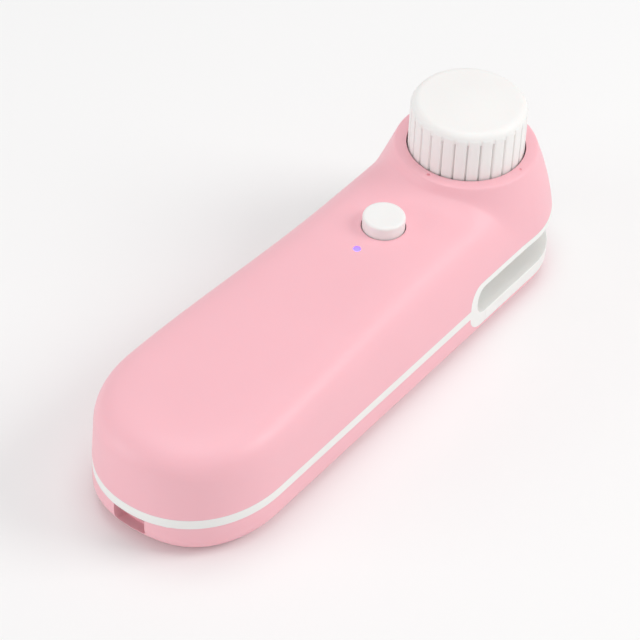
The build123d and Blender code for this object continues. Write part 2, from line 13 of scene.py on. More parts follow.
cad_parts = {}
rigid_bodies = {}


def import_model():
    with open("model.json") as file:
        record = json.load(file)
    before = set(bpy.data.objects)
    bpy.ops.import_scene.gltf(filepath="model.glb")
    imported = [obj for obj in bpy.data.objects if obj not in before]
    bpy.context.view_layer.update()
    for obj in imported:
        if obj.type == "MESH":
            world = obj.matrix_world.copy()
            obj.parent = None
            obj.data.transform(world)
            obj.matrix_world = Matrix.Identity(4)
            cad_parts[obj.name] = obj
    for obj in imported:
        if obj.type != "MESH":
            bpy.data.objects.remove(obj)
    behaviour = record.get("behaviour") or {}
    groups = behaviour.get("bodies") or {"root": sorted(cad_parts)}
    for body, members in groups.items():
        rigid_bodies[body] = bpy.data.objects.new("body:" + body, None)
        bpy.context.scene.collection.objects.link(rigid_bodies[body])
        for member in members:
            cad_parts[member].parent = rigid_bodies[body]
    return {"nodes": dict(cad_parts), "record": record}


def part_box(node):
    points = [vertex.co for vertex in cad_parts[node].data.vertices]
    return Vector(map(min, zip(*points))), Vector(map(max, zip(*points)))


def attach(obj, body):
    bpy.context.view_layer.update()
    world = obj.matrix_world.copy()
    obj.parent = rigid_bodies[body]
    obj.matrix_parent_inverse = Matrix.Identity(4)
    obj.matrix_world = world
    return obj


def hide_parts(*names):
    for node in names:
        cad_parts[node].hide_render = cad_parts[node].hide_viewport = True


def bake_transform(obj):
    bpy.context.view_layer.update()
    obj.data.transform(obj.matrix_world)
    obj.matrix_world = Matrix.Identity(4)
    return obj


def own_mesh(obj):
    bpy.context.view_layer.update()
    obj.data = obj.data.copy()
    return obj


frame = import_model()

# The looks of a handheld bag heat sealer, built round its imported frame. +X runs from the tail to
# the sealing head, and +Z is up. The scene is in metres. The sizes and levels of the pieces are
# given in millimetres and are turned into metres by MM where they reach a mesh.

logging.basicConfig(level=logging.INFO, format="%(message)s")
log = logging.getLogger("sealer")

MM = 0.001
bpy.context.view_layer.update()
Colour = tuple[float, float, float]


def middle_x(node: str) -> float:
    """Middle of a CAD node's box along X, in millimetres."""
    low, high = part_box(node)
    return (low.x + high.x) / 2 / MM


class Cut(Enum):
    """How one solid acts on another."""

    AWAY = "DIFFERENCE"
    KEEP = "INTERSECT"
    JOIN = "UNION"


class Side(Enum):
    """Which part of a mesh a bisecting plane leaves."""

    ABOVE = "above"
    BELOW = "below"


# ------------------------------------------------------------------ workbench
class Bench:
    """Everyday modelling moves, each on one object that is made active first."""

    @staticmethod
    def take(obj: bpy.types.Object) -> bpy.types.Object:
        """Deselects everything and makes obj the one active, selected object."""
        bpy.ops.object.select_all(action="DESELECT")
        obj.select_set(True)
        bpy.context.view_layer.objects.active = obj
        return obj

    @staticmethod
    def named(name: str) -> bpy.types.Object:
        """Names the object just added and its mesh."""
        obj = bpy.context.active_object
        obj.name = name
        obj.data.name = name
        return obj

    @classmethod
    def settle(cls, obj: bpy.types.Object) -> bpy.types.Object:
        """Moves an object's place, turn and size into its mesh."""
        cls.take(obj)
        bpy.ops.object.transform_apply(location=True, rotation=True, scale=True)
        return obj

    @classmethod
    def block(cls, name: str, low: Sequence[float], high: Sequence[float]) -> bpy.types.Object:
        """Adds a box between two corners given in millimetres.

        Args:
            name: Name of the new object.
            low: Lowest corner.
            high: Highest corner.

        Returns:
            The box, with its place in its mesh.
        """
        bpy.ops.object.select_all(action="DESELECT")
        middle = [(a + b) / 2 * MM for a, b in zip(low, high)]
        size = [(b - a) * MM for a, b in zip(low, high)]
        bpy.ops.mesh.primitive_cube_add(size=1.0, location=middle, scale=size)
        return cls.settle(cls.named(name))

    @classmethod
    def rod(
        cls, name: str, x: float, y: float, bottom: float, top: float, radius: float, sides: int = 96
    ) -> bpy.types.Object:
        """Adds an upright cylinder, all sizes in millimetres.

        Args:
            name: Name of the new object.
            x: Place of its axis along X.
            y: Place of its axis along Y.
            bottom: Level of its lower end.
            top: Level of its upper end.
            radius: Its radius.
            sides: Number of sides.

        Returns:
            The cylinder, with its place in its mesh.
        """
        bpy.ops.object.select_all(action="DESELECT")
        bpy.ops.mesh.primitive_cylinder_add(
            vertices=sides, radius=radius * MM, depth=(top - bottom) * MM,
            location=(x * MM, y * MM, (bottom + top) / 2 * MM),
        )
        return cls.settle(cls.named(name))

    @classmethod
    def copy(cls, obj: bpy.types.Object, name: str) -> bpy.types.Object:
        """Copies an object with a mesh of its own."""
        twin = obj.copy()
        twin.data = obj.data.copy()
        twin.name = name
        twin.data.name = name
        bpy.context.scene.collection.objects.link(twin)
        return cls.take(twin)

    @classmethod
    def cut(cls, obj: bpy.types.Object, tool: bpy.types.Object, how: Cut, keep: bool = False) -> None:
        """Applies a boolean of tool on obj.

        Args:
            obj: The piece that is changed.
            tool: The solid that changes it.
            how: Whether tool is cut away, kept in common, or joined.
            keep: Leaves the tool in the scene for another cut.
        """
        cls.take(obj)
        modifier = obj.modifiers.new("cut", "BOOLEAN")
        modifier.operation = how.value
        modifier.solver = "EXACT"
        modifier.object = tool
        bpy.ops.object.modifier_apply(modifier=modifier.name)
        if not keep:
            bpy.data.objects.remove(tool)

    @classmethod
    def slice(cls, obj: bpy.types.Object, level: float, leave: Side) -> None:
        """Cuts a closed mesh level at a height in millimetres and closes the cut."""
        cls.take(obj)
        bpy.ops.object.mode_set(mode="EDIT")
        bpy.ops.mesh.select_all(action="SELECT")
        bpy.ops.mesh.bisect(
            plane_co=(0, 0, level * MM), plane_no=(0, 0, 1), use_fill=True,
            clear_inner=leave is Side.ABOVE, clear_outer=leave is Side.BELOW,
        )
        bpy.ops.object.mode_set(mode="OBJECT")

    @classmethod
    def select_edges(cls, obj: bpy.types.Object, wanted: Callable[[Vector, Vector], bool]) -> None:
        """Selects the edges whose two ends, in millimetres, pass a test, and enters edit mode."""
        cls.take(obj)
        bpy.ops.object.mode_set(mode="EDIT")
        bpy.ops.mesh.select_mode(type="EDGE")
        bpy.ops.mesh.select_all(action="DESELECT")
        mesh = bmesh.from_edit_mesh(obj.data)
        for edge in mesh.edges:
            ends = [vertex.co / MM for vertex in edge.verts]
            edge.select_set(wanted(*ends))
        bmesh.update_edit_mesh(obj.data)

    @classmethod
    def select_faces(cls, obj: bpy.types.Object, wanted: Callable[[bmesh.types.BMFace], bool]) -> None:
        """Enters edit mode with only the faces that pass a test selected."""
        cls.take(obj)
        bpy.ops.object.mode_set(mode="EDIT")
        bpy.ops.mesh.select_mode(type="FACE")
        bpy.ops.mesh.select_all(action="DESELECT")
        mesh = bmesh.from_edit_mesh(obj.data)
        for face in mesh.faces:
            face.select_set(wanted(face))
        bmesh.update_edit_mesh(obj.data)

    @classmethod
    def round_edges(
        cls, obj: bpy.types.Object, wanted: Callable[[Vector, Vector], bool], radius: float, steps: int
    ) -> None:
        """Bevels the edges that pass a test.

        Args:
            obj: The piece.
            wanted: Test of an edge's two ends in millimetres.
            radius: Radius of the rounding in millimetres.
            steps: Number of segments.
        """
        cls.select_edges(obj, wanted)
        bpy.ops.mesh.bevel(offset=radius * MM, segments=steps, profile=0.5, affect="EDGES")
        bpy.ops.object.mode_set(mode="OBJECT")

    @classmethod
    def soften(cls, obj: bpy.types.Object, width: float, steps: int = 2, angle: float = 40.0) -> None:
        """Rounds every sharp edge by a width in millimetres with an applied bevel."""
        cls.take(obj)
        modifier = obj.modifiers.new("soft_edges", "BEVEL")
        modifier.width = width * MM
        modifier.segments = steps
        modifier.limit_method = "ANGLE"
        modifier.angle_limit = math.radians(angle)
        modifier.use_clamp_overlap = True
        bpy.ops.object.modifier_apply(modifier=modifier.name)

    @classmethod
    def merge(cls, obj: bpy.types.Object, distance: float) -> None:
        """Joins corners closer than a distance in millimetres, fills slits and turns faces outwards."""
        cls.take(obj)
        bpy.ops.object.mode_set(mode="EDIT")
        bpy.ops.mesh.select_all(action="SELECT")
        bpy.ops.mesh.remove_doubles(threshold=distance * MM)
        bpy.ops.mesh.fill_holes(sides=4)
        bpy.ops.mesh.select_all(action="SELECT")
        bpy.ops.mesh.normals_make_consistent(inside=False)
        bpy.ops.object.mode_set(mode="OBJECT")

    @classmethod
    def smooth(cls, obj: bpy.types.Object, angle: float = 35.0) -> None:
        """Smooth shading, with edges over an angle in degrees left sharp."""
        cls.take(obj)
        bpy.ops.object.shade_smooth_by_angle(angle=math.radians(angle))

    @classmethod
    def weigh_normals(cls, obj: bpy.types.Object) -> None:
        """Leans the shading towards the large faces, so that flat stretches stay flat."""
        cls.take(obj)
        modifier = obj.modifiers.new("weighted", "WEIGHTED_NORMAL")
        modifier.keep_sharp = True
        modifier.weight = 60
        bpy.ops.object.modifier_apply(modifier=modifier.name)


# ------------------------------------------------------------------ finishes
@dataclass(frozen=True)
class Finish:
    """A surface finish, and the node graph that gives it.

    Attributes:
        name: Name of the material.
        colour: Main colour, linear.
        roughness: Mean roughness.
        metallic: 0 for plastics and rubbers, 1 for metals.
    """

    name: str
    colour: Colour
    roughness: float
    metallic: float = 0.0

    def start(self) -> tuple[bpy.types.Material, bpy.types.ShaderNodeBsdfPrincipled]:
        """Creates the material with its shader's constant sockets set."""
        material = bpy.data.materials.new(f"{self.name}_finish")
        material.use_nodes = True
        shader = material.node_tree.nodes["Principled BSDF"]
        shader.inputs["Base Color"].default_value = (*self.colour, 1.0)
        shader.inputs["Roughness"].default_value = self.roughness
        shader.inputs["Metallic"].default_value = self.metallic
        material.diffuse_color = (*self.colour, 1.0)
        return material, shader

    def make(self) -> bpy.types.Material:
        """Builds the material."""
        raise NotImplementedError


class Graph:
    """Adds nodes to a material and wires them to its shader."""

    def __init__(self, material: bpy.types.Material, shader: bpy.types.ShaderNode) -> None:
        """Starts from a material and its shader.

        Args:
            material: The material.
            shader: Its shader node.
        """
        self.tree = material.node_tree
        self.shader = shader
        self.place = self.tree.nodes.new("ShaderNodeTexCoord").outputs["Object"]

    def noise(self, scale: float, detail: float = 3.0, rough: float = 0.5) -> bpy.types.NodeSocket:
        """Noise on object coordinates, with scale in features per metre."""
        node = self.tree.nodes.new("ShaderNodeTexNoise")
        node.inputs["Scale"].default_value = scale
        node.inputs["Detail"].default_value = detail
        node.inputs["Roughness"].default_value = rough
        self.tree.links.new(self.place, node.inputs["Vector"])
        return node.outputs["Fac"]

    def stretched_noise(self, scale: Sequence[float], detail: float = 2.0) -> bpy.types.NodeSocket:
        """Noise drawn out along one axis, for brushed and rolled metal."""
        mapping = self.tree.nodes.new("ShaderNodeMapping")
        mapping.inputs["Scale"].default_value = scale
        self.tree.links.new(self.place, mapping.inputs["Vector"])
        node = self.tree.nodes.new("ShaderNodeTexNoise")
        node.inputs["Scale"].default_value = 1.0
        node.inputs["Detail"].default_value = detail
        self.tree.links.new(mapping.outputs["Vector"], node.inputs["Vector"])
        return node.outputs["Fac"]

    def cells(self, scale: float) -> bpy.types.NodeSocket:
        """Distance to the nearest of scattered points, for fine moulded texture."""
        node = self.tree.nodes.new("ShaderNodeTexVoronoi")
        node.inputs["Scale"].default_value = scale
        self.tree.links.new(self.place, node.inputs["Vector"])
        return node.outputs["Distance"]

    def weave(self, pitch_per_metre: float) -> bpy.types.NodeSocket:
        """Crossed bands of a plain weave."""
        bands = []
        for direction in ("X", "Y"):
            wave = self.tree.nodes.new("ShaderNodeTexWave")
            wave.bands_direction = direction
            wave.inputs["Scale"].default_value = pitch_per_metre
            self.tree.links.new(self.place, wave.inputs["Vector"])
            bands.append(wave.outputs["Fac"])
        product = self.tree.nodes.new("ShaderNodeMath")
        product.operation = "MAXIMUM"
        self.tree.links.new(bands[0], product.inputs[0])
        self.tree.links.new(bands[1], product.inputs[1])
        return product.outputs["Value"]

    def ramp(
        self, source: bpy.types.NodeSocket, stops: Iterable[tuple[float, Colour]]
    ) -> bpy.types.NodeSocket:
        """Colours a value by stops of position and colour."""
        node = self.tree.nodes.new("ShaderNodeValToRGB")
        elements = node.color_ramp.elements
        stops = list(stops)
        while len(elements) < len(stops):
            elements.new(0.5)
        for element, (position, colour) in zip(elements, stops):
            element.position = position
            element.color = (*colour, 1.0)
        self.tree.links.new(source, node.inputs["Fac"])
        return node.outputs["Color"]

    def spread(self, source: bpy.types.NodeSocket, low: float, high: float) -> bpy.types.NodeSocket:
        """Maps a 0 to 1 value to a range."""
        node = self.tree.nodes.new("ShaderNodeMapRange")
        node.inputs["To Min"].default_value = low
        node.inputs["To Max"].default_value = high
        self.tree.links.new(source, node.inputs["Value"])
        return node.outputs["Result"]

    def set(self, socket: str, source: bpy.types.NodeSocket) -> None:
        """Wires a value to one of the shader's sockets."""
        self.tree.links.new(source, self.shader.inputs[socket])

    def bump(self, height: bpy.types.NodeSocket, depth_mm: float, strength: float = 1.0) -> None:
        """Raises the surface by a height map, on top of any bump already wired."""
        node = self.tree.nodes.new("ShaderNodeBump")
        node.inputs["Distance"].default_value = depth_mm * MM
        node.inputs["Strength"].default_value = strength
        self.tree.links.new(height, node.inputs["Height"])
        before = self.shader.inputs["Normal"].links
        if before:
            self.tree.links.new(before[0].from_socket, node.inputs["Normal"])
        self.tree.links.new(node.outputs["Normal"], self.shader.inputs["Normal"])


def shade(colour: Colour, factor: float) -> Colour:
    """A colour made lighter or darker by a factor."""
    return tuple(min(1.0, channel * factor) for channel in colour)


@dataclass(frozen=True)
class MouldedPlastic(Finish):
    """Injection-moulded plastic with spark-eroded grain and faint colour variation.

    Attributes:
        grain_mm: Depth of the moulded grain.
        grain_scale: Grains per metre.
        glow_through: Share of light that scatters inside.
        coat: Weight of a thin clear gloss.
    """

    grain_mm: float = 0.010
    grain_scale: float = 3800.0
    glow_through: float = 0.0
    coat: float = 0.0

    def make(self) -> bpy.types.Material:
        """Builds the material."""
        material, shader = self.start()
        shader.inputs["IOR"].default_value = 1.47
        shader.inputs["Subsurface Weight"].default_value = self.glow_through
        shader.inputs["Subsurface Scale"].default_value = 0.0016
        shader.inputs["Subsurface Radius"].default_value = (1.0, 0.45, 0.4)
        shader.inputs["Coat Weight"].default_value = self.coat
        shader.inputs["Coat Roughness"].default_value = 0.28
        graph = Graph(material, shader)
        cloud = graph.noise(38.0, 2.0)
        graph.set(
            "Base Color",
            graph.ramp(cloud, [(0.25, shade(self.colour, 0.985)), (0.75, shade(self.colour, 1.012))]),
        )
        handled = graph.noise(160.0, 4.0, 0.6)
        graph.set("Roughness", graph.spread(handled, self.roughness - 0.05, self.roughness + 0.06))
        graph.bump(graph.cells(self.grain_scale), self.grain_mm, 0.35)
        graph.bump(graph.noise(self.grain_scale * 0.4, 2.0), self.grain_mm * 1.5, 0.25)
        return material


@dataclass(frozen=True)
class WorkedMetal(Finish):
    """Metal with marks drawn out along one axis.

    Attributes:
        marks: Scale of the marks along X, Y and Z, per metre.
    """

    marks: tuple[float, float, float] = (400.0, 400.0, 6000.0)

    def make(self) -> bpy.types.Material:
        """Builds the material."""
        material, shader = self.start()
        graph = Graph(material, shader)
        lines = graph.stretched_noise(self.marks, 3.0)
        graph.set("Roughness", graph.spread(lines, self.roughness - 0.1, self.roughness + 0.12))
        tarnish = graph.noise(220.0, 4.0)
        graph.set(
            "Base Color", graph.ramp(tarnish, [(0.3, shade(self.colour, 0.86)), (0.7, self.colour)])
        )
        graph.bump(lines, 0.006, 0.4)
        return material


@dataclass(frozen=True)
class SoftRubber(Finish):
    """Matt elastomer with a dusty bloom."""

    def make(self) -> bpy.types.Material:
        """Builds the material."""
        material, shader = self.start()
        shader.inputs["Specular IOR Level"].default_value = 0.35
        graph = Graph(material, shader)
        bloom = graph.noise(300.0, 5.0, 0.65)
        graph.set(
            "Base Color",
            graph.ramp(bloom, [(0.3, shade(self.colour, 0.92)), (0.75, shade(self.colour, 1.06))]),
        )
        graph.set("Roughness", graph.spread(bloom, self.roughness - 0.06, self.roughness + 0.08))
        graph.bump(graph.noise(5200.0, 2.0), 0.012, 0.4)
        return material


@dataclass(frozen=True)
class CoatedCloth(Finish):
    """Glass cloth with a brown non-stick coating."""

    def make(self) -> bpy.types.Material:
        """Builds the material."""
        material, shader = self.start()
        graph = Graph(material, shader)
        threads = graph.weave(900.0)
        graph.set(
            "Base Color", graph.ramp(threads, [(0.0, shade(self.colour, 0.7)), (1.0, self.colour)])
        )
        graph.set("Roughness", graph.spread(threads, self.roughness + 0.1, self.roughness - 0.05))
        graph.bump(threads, 0.04, 0.6)
        return material


@dataclass(frozen=True)
class CircuitBoard(Finish):
    """Solder mask with copper runs faintly raised under it."""

    def make(self) -> bpy.types.Material:
        """Builds the material."""
        material, shader = self.start()
        shader.inputs["Coat Weight"].default_value = 0.4
        graph = Graph(material, shader)
        brick = graph.tree.nodes.new("ShaderNodeTexBrick")
        brick.inputs["Scale"].default_value = 260.0
        brick.inputs["Mortar Size"].default_value = 0.05
        brick.inputs["Color1"].default_value = (*shade(self.colour, 0.9), 1.0)
        brick.inputs["Color2"].default_value = (*shade(self.colour, 1.12), 1.0)
        brick.inputs["Mortar"].default_value = (*shade(self.colour, 1.6), 1.0)
        graph.tree.links.new(graph.place, brick.inputs["Vector"])
        graph.set("Base Color", brick.outputs["Color"])
        graph.bump(brick.outputs["Fac"], 0.02, 0.5)
        return material


@dataclass(frozen=True)
class Glow(Finish):
    """Clear light guide that glows from within.

    Attributes:
        strength: Strength of the glow.
    """

    strength: float = 3.0

    def make(self) -> bpy.types.Material:
        """Builds the material."""
        material, shader = self.start()
        shader.inputs["Emission Color"].default_value = (*self.colour, 1.0)
        shader.inputs["Emission Strength"].default_value = self.strength
        shader.inputs["Transmission Weight"].default_value = 0.3
        graph = Graph(material, shader)
        graph.set("Roughness", graph.spread(graph.noise(900.0), self.roughness, self.roughness + 0.2))
        graph.bump(graph.noise(2500.0), 0.01, 0.3)
        return material


FINISHES: dict[str, Finish] = {
    finish.name: finish
    for finish in (
        MouldedPlastic("pink_shell", (0.955, 0.515, 0.575), 0.45, glow_through=0.10, coat=0.10),
        MouldedPlastic("white_trim", (0.905, 0.905, 0.885), 0.45, grain_mm=0.008, glow_through=0.08),
        MouldedPlastic("white_knob", (0.92, 0.905, 0.89), 0.44, grain_mm=0.008, glow_through=0.10),
        MouldedPlastic("white_button", (0.90, 0.89, 0.88), 0.42, grain_mm=0.006, glow_through=0.08),
        SoftRubber("silicone", (0.62, 0.62, 0.60), 0.62),
        CoatedCloth("mica", (0.42, 0.34, 0.24), 0.45),
        WorkedMetal("steel", (0.62, 0.62, 0.64), 0.34, 1.0),
        WorkedMetal("stem_steel", (0.70, 0.70, 0.72), 0.22, 1.0, (900.0, 900.0, 9000.0)),
        WorkedMetal("spring_steel", (0.50, 0.50, 0.53), 0.30, 1.0, (2500.0, 2500.0, 2500.0)),
        MouldedPlastic("black_plastic", (0.020, 0.020, 0.022), 0.48, grain_mm=0.014),
        MouldedPlastic("acetal", (0.78, 0.76, 0.68), 0.36, grain_mm=0.004, glow_through=0.1),
        WorkedMetal("brass", (0.78, 0.52, 0.20), 0.28, 1.0),
        MouldedPlastic("phenolic", (0.055, 0.025, 0.015), 0.42, grain_mm=0.010),
        WorkedMetal("aluminium", (0.78, 0.79, 0.80), 0.32, 1.0, (300.0, 5000.0, 5000.0)),
        WorkedMetal("nichrome", (0.36, 0.34, 0.33), 0.38, 1.0, (6000.0, 250.0, 6000.0)),
        CoatedCloth("ptfe", (0.46, 0.28, 0.14), 0.38),
        MouldedPlastic("sensor_body", (0.025, 0.025, 0.025), 0.25, grain_mm=0.003),
        MouldedPlastic("switch_body", (0.03, 0.03, 0.032), 0.40, grain_mm=0.006),
        CircuitBoard("board_green", (0.012, 0.13, 0.05), 0.32),
        MouldedPlastic("chip_black", (0.016, 0.016, 0.018), 0.50, grain_mm=0.008),
        MouldedPlastic("led_body", (0.85, 0.84, 0.70), 0.30, grain_mm=0.003),
        Glow("light_pipe", (0.22, 0.16, 1.0), 0.15, strength=1.5),
        WorkedMetal("socket_metal", (0.66, 0.66, 0.68), 0.26, 1.0),
        WorkedMetal("cell_can", (0.68, 0.68, 0.70), 0.24, 1.0, (5000.0, 400.0, 400.0)),
        MouldedPlastic("cell_wrap", (0.02, 0.16, 0.36), 0.26, grain_mm=0.004),
        WorkedMetal("nickel", (0.64, 0.62, 0.57), 0.30, 1.0),
        SoftRubber("red_insulation", (0.50, 0.02, 0.02), 0.42),
        SoftRubber("black_insulation", (0.012, 0.012, 0.012), 0.45),
    )
}


class Finishes:
    """Makes each finish once and hands it out by slot name."""

    def __init__(self) -> None:
        """Starts with nothing made."""
        self.made: dict[str, bpy.types.Material] = {}

    def get(self, slot: str) -> bpy.types.Material:
        """The material of a slot, made on first use."""
        if slot not in self.made:
            self.made[slot] = FINISHES[slot].make()
        return self.made[slot]

    def dress(self, obj: bpy.types.Object, slot: str) -> None:
        """Gives a new piece its one material, chosen by slot name."""
        obj.data.materials.clear()
        obj.data.materials.append(self.get(slot))

    def hand_over(self, obj: bpy.types.Object, slot: str, body: str, node: str) -> None:
        """Dresses a finished piece and puts it in its CAD node's place.

        Args:
            obj: The piece.
            slot: Its material slot.
            body: The CAD body that it moves with.
            node: The CAD node that it stands for.
        """
        self.dress(obj, slot)
        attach(obj, body)
        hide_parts(node)
        log.info("%s: %d faces", obj.name, len(obj.data.polygons))


# ------------------------------------------------------------------ the housing's outer form
@dataclass
class BodyForm:
    """The outer form of the whole housing in millimetres, or the hollow inside it.

    The surface is laid on a grid: columns run round the plan outline, and rows run from the
    centre of the underside, out and up over the side, to the collar above the head.

    Attributes:
        low: Lowest corner of the outer form's box.
        high: Highest corner of the outer form's box.
        inset: How far the form lies inside the outer one.
        columns: Points round the outline.
        rows: Points from the seam up to the collar.
        tail_length: Length of the rounded tail.
        tail_fullness: Power of the tail's outline, where 2 is an ellipse.
        base_radius: Rounding of the base edge.
        tail_base_extra: Rounding that the base edge gains at the end of the tail.
        seam: Level of the band's top, where the sides start to lean in.
        floor: Level of the underside.
        tail_rise: Height of the roof over the seam at the tail.
        neck_rise: Height of the roof over the seam at the neck.
        tail_lean: How far the sides lean in at the tail.
        neck_lean: How far the sides lean in at the neck.
        tail_squareness: Power of the section at the tail, where 2 is an ellipse.
        neck_squareness: Power of the section at the neck.
        head_lean: How far the head's side leans in up to the collar.
        head_squareness: Power of the head's section.
        collar_level: Level of the collar's top.
        lip_radius: Radius at which the rows end on the collar.
        roof_blend: Softness of the join of roof and head.
        side_blend: Softness of the join of side and head.
        flare_start: Radius round the head at which its foot's sweep starts.
        flare_height: Height of the sweep.
        flare_reach: Width of the sweep.
        lower_nose: How far the base reaches past the head's centre.
    """

    low: Vector
    high: Vector
    inset: float = 0.0
    columns: int = 300
    rows: int = 62
    tail_length: float = 27.9
    tail_fullness: float = 2.12
    base_radius: float = 5.0
    tail_base_extra: float = 2.6
    seam: float = 12.3
    floor: float = 0.0
    tail_rise: float = 19.1
    neck_rise: float = 19.8
    tail_lean: float = 0.3
    neck_lean: float = 5.4
    tail_squareness: float = 5.2
    neck_squareness: float = 5.0
    head_lean: float = 5.8
    head_squareness: float = 70.0
    collar_level: float = 36.4
    lip_radius: float = 16.3
    roof_blend: float = 2.4
    side_blend: float = 8.0
    flare_start: float = 18.6
    flare_height: float = 3.1
    flare_reach: float = 8.0
    lower_nose: float = 20.7

    def __post_init__(self) -> None:
        """Works out the places that follow from the frame's box."""
        self.width = (self.high.y - self.low.y) / 2 - self.inset
        self.head_x = self.high.x - (self.high.y - self.low.y) / 2
        self.tail_x = self.low.x + self.tail_length
        self.tail_length -= self.inset
        self.base_radius = max(1.0, self.base_radius - self.inset)
        self.tail_rise -= self.inset
        self.neck_rise -= self.inset
        self.head_rise = self.collar_level - self.inset - self.seam
        self.floor += self.inset

    @staticmethod
    def ease(value: np.ndarray, start: float, end: float) -> np.ndarray:
        """Smooth step from 0 at start to 1 at end."""
        share = np.clip((value - start) / (end - start), 0.0, 1.0)
        return share * share * (3 - 2 * share)

    def outline(self) -> tuple[np.ndarray, np.ndarray, np.ndarray]:
        """Plan outline, closer spaced round the ends.

        Returns:
            Its points, its outward normals, and for each the matching point of the collar.
        """
        quarter = self.columns // 6
        turn = np.linspace(0.0, math.pi / 2, quarter, endpoint=False)
        side = np.linspace(0.0, 1.0, quarter, endpoint=False)
        tail = np.linspace(0.0, math.pi / 2, quarter + 1)
        power = 2 / self.tail_fullness
        x = np.concatenate([
            self.head_x + self.width * np.cos(turn),
            self.head_x + (self.tail_x - self.head_x) * side,
            self.tail_x - self.tail_length * np.sin(tail) ** power,
        ])
        y = np.concatenate([
            self.width * np.sin(turn),
            np.full(side.size, self.width),
            self.width * np.cos(tail) ** power,
        ])
        x = np.concatenate([x, x[-2:0:-1]])
        y = np.concatenate([y, -y[-2:0:-1]])
        points = np.stack([x, y], 1)
        tangent = np.roll(points, -1, 0) - np.roll(points, 1, 0)
        normal = np.stack([tangent[:, 1], -tangent[:, 0]], 1)
        normal /= np.linalg.norm(normal, axis=1, keepdims=True)
        share = np.zeros(len(points))
        half = len(points) // 2
        # The collar point swings round with the outline, quicker beside the head
        swing = np.concatenate([
            turn,
            math.pi / 2 + side * 0.75 * math.pi / 2,
            math.pi / 2 * 1.75 + tail / (math.pi / 2) * 0.25 * math.pi / 2,
        ])
        share[: half + 1] = swing[: half + 1]
        share[half + 1:] = 2 * math.pi - swing[half - 1: 0: -1]
        lip = self.lip_radius
        collar = np.stack([self.head_x + lip * np.cos(share), lip * np.sin(share)], 1)
        return points, normal, collar

    def profile(self, ratio: np.ndarray, lean: np.ndarray, squareness: np.ndarray) -> np.ndarray:
        """Share of the full height at which a section is ratio of its half-width wide."""
        low = np.zeros_like(ratio)
        high = np.ones_like(ratio)
        for _ in range(34):
            middle = (low + high) / 2
            width = (1 - lean / self.width * middle**1.5) * (1 - middle**squareness) ** (1 / squareness)
            wide = width > ratio
            low = np.where(wide, middle, low)
            high = np.where(wide, high, middle)
        return (low + high) / 2

    def level(self, x: np.ndarray, y: np.ndarray) -> np.ndarray:
        """Height of the upper surface over a plan point."""
        toward_tail = np.maximum(self.tail_x - x, 0.0) / self.tail_length
        across = np.abs(y) / self.width
        beyond = np.maximum(x - self.head_x, 0.0) / self.width
        power = self.tail_fullness
        tail_ratio = (toward_tail**power + across**power) ** (1 / power)
        ratio = np.where(x < self.tail_x, tail_ratio, np.hypot(across, beyond))
        share = self.ease(x, self.tail_x, 24.0)
        lean = self.tail_lean + (self.neck_lean - self.tail_lean) * share
        squareness = self.tail_squareness + (self.neck_squareness - self.tail_squareness) * share
        rise = self.tail_rise + (self.neck_rise - self.tail_rise) * self.ease(x, -60.0, 24.0)
        body = rise * self.profile(np.minimum(ratio, 1.0), lean, squareness)
        radius = np.hypot(x - self.head_x, y)
        shoulder = np.clip(body / rise, 0.0, 1.0) ** 6
        near = 1 - np.clip((radius - self.flare_start) / self.flare_reach, 0.0, 1.0)
        body = body + self.flare_height * near**2 * shoulder
        inside = radius < self.width
        head = self.head_rise * self.profile(
            np.minimum(radius / self.width, 1.0),
            np.full_like(x, self.head_lean),
            np.full_like(x, self.head_squareness),
        )
        head = np.where(inside, head, -50.0)
        reach = self.side_blend + (self.roof_blend - self.side_blend) * shoulder
        reach = reach * np.clip(body / 14.0, 0.02, 1.0)
        overlap = np.maximum(reach - np.abs(body - head), 0.0) / reach
        return self.seam + np.maximum(body, head) + overlap**2 * reach / 4

    def upper_rows(self, points: np.ndarray, collar: np.ndarray) -> np.ndarray:
        """Rows from the seam up to the collar, closer spaced where the surface turns.

        Returns:
            An array of rows by columns by XYZ.
        """
        samples = 1 - np.linspace(1.0, 0.0, 700) ** 4
        x = points[None, :, 0] + samples[:, None] * (collar - points)[None, :, 0]
        y = points[None, :, 1] + samples[:, None] * (collar - points)[None, :, 1]
        z = self.level(x, y)
        z[0] = self.seam
        path = np.stack([x, y, z], 2)
        step = np.diff(path, axis=0)
        length = np.linalg.norm(step, axis=2)
        heading = step / np.maximum(length, 1e-9)[:, :, None]
        turning = np.zeros_like(length)
        cosine = np.clip((heading[1:] * heading[:-1]).sum(2), -1.0, 1.0)
        turning[1:] = np.arccos(cosine)
        measure = length / length.sum(0) + 1.3 * turning / np.maximum(turning.sum(0), 1e-9)
        travelled = np.concatenate([np.zeros((1, measure.shape[1])), np.cumsum(measure, 0)])
        travelled /= travelled[-1]
        wanted = np.linspace(0.0, 1.0, self.rows)
        rows = np.zeros((self.rows, points.shape[0], 3))
        for column in range(points.shape[0]):
            for axis in range(3):
                rows[:, column, axis] = np.interp(wanted, travelled[:, column], path[:, column, axis])
        return rows

    def grid(self) -> np.ndarray:
        """All rows of the form, from the middle of the underside to the middle of the collar."""
        points, normal, collar = self.outline()
        centre = np.array([self.head_x, 0.0])
        rows = []
        nose_share = self.lower_nose / (self.high.y - self.low.y) * 2

        def row(plan: np.ndarray, level: float | np.ndarray, stands_back: bool = True) -> None:
            """Adds one row; rows under the slot stand back at the nose."""
            x, y = plan.T
            if stands_back:
                x = np.where(x > self.head_x, self.head_x + (x - self.head_x) * nose_share, x)
            rows.append(np.column_stack([x, y, np.broadcast_to(level, len(plan))]))

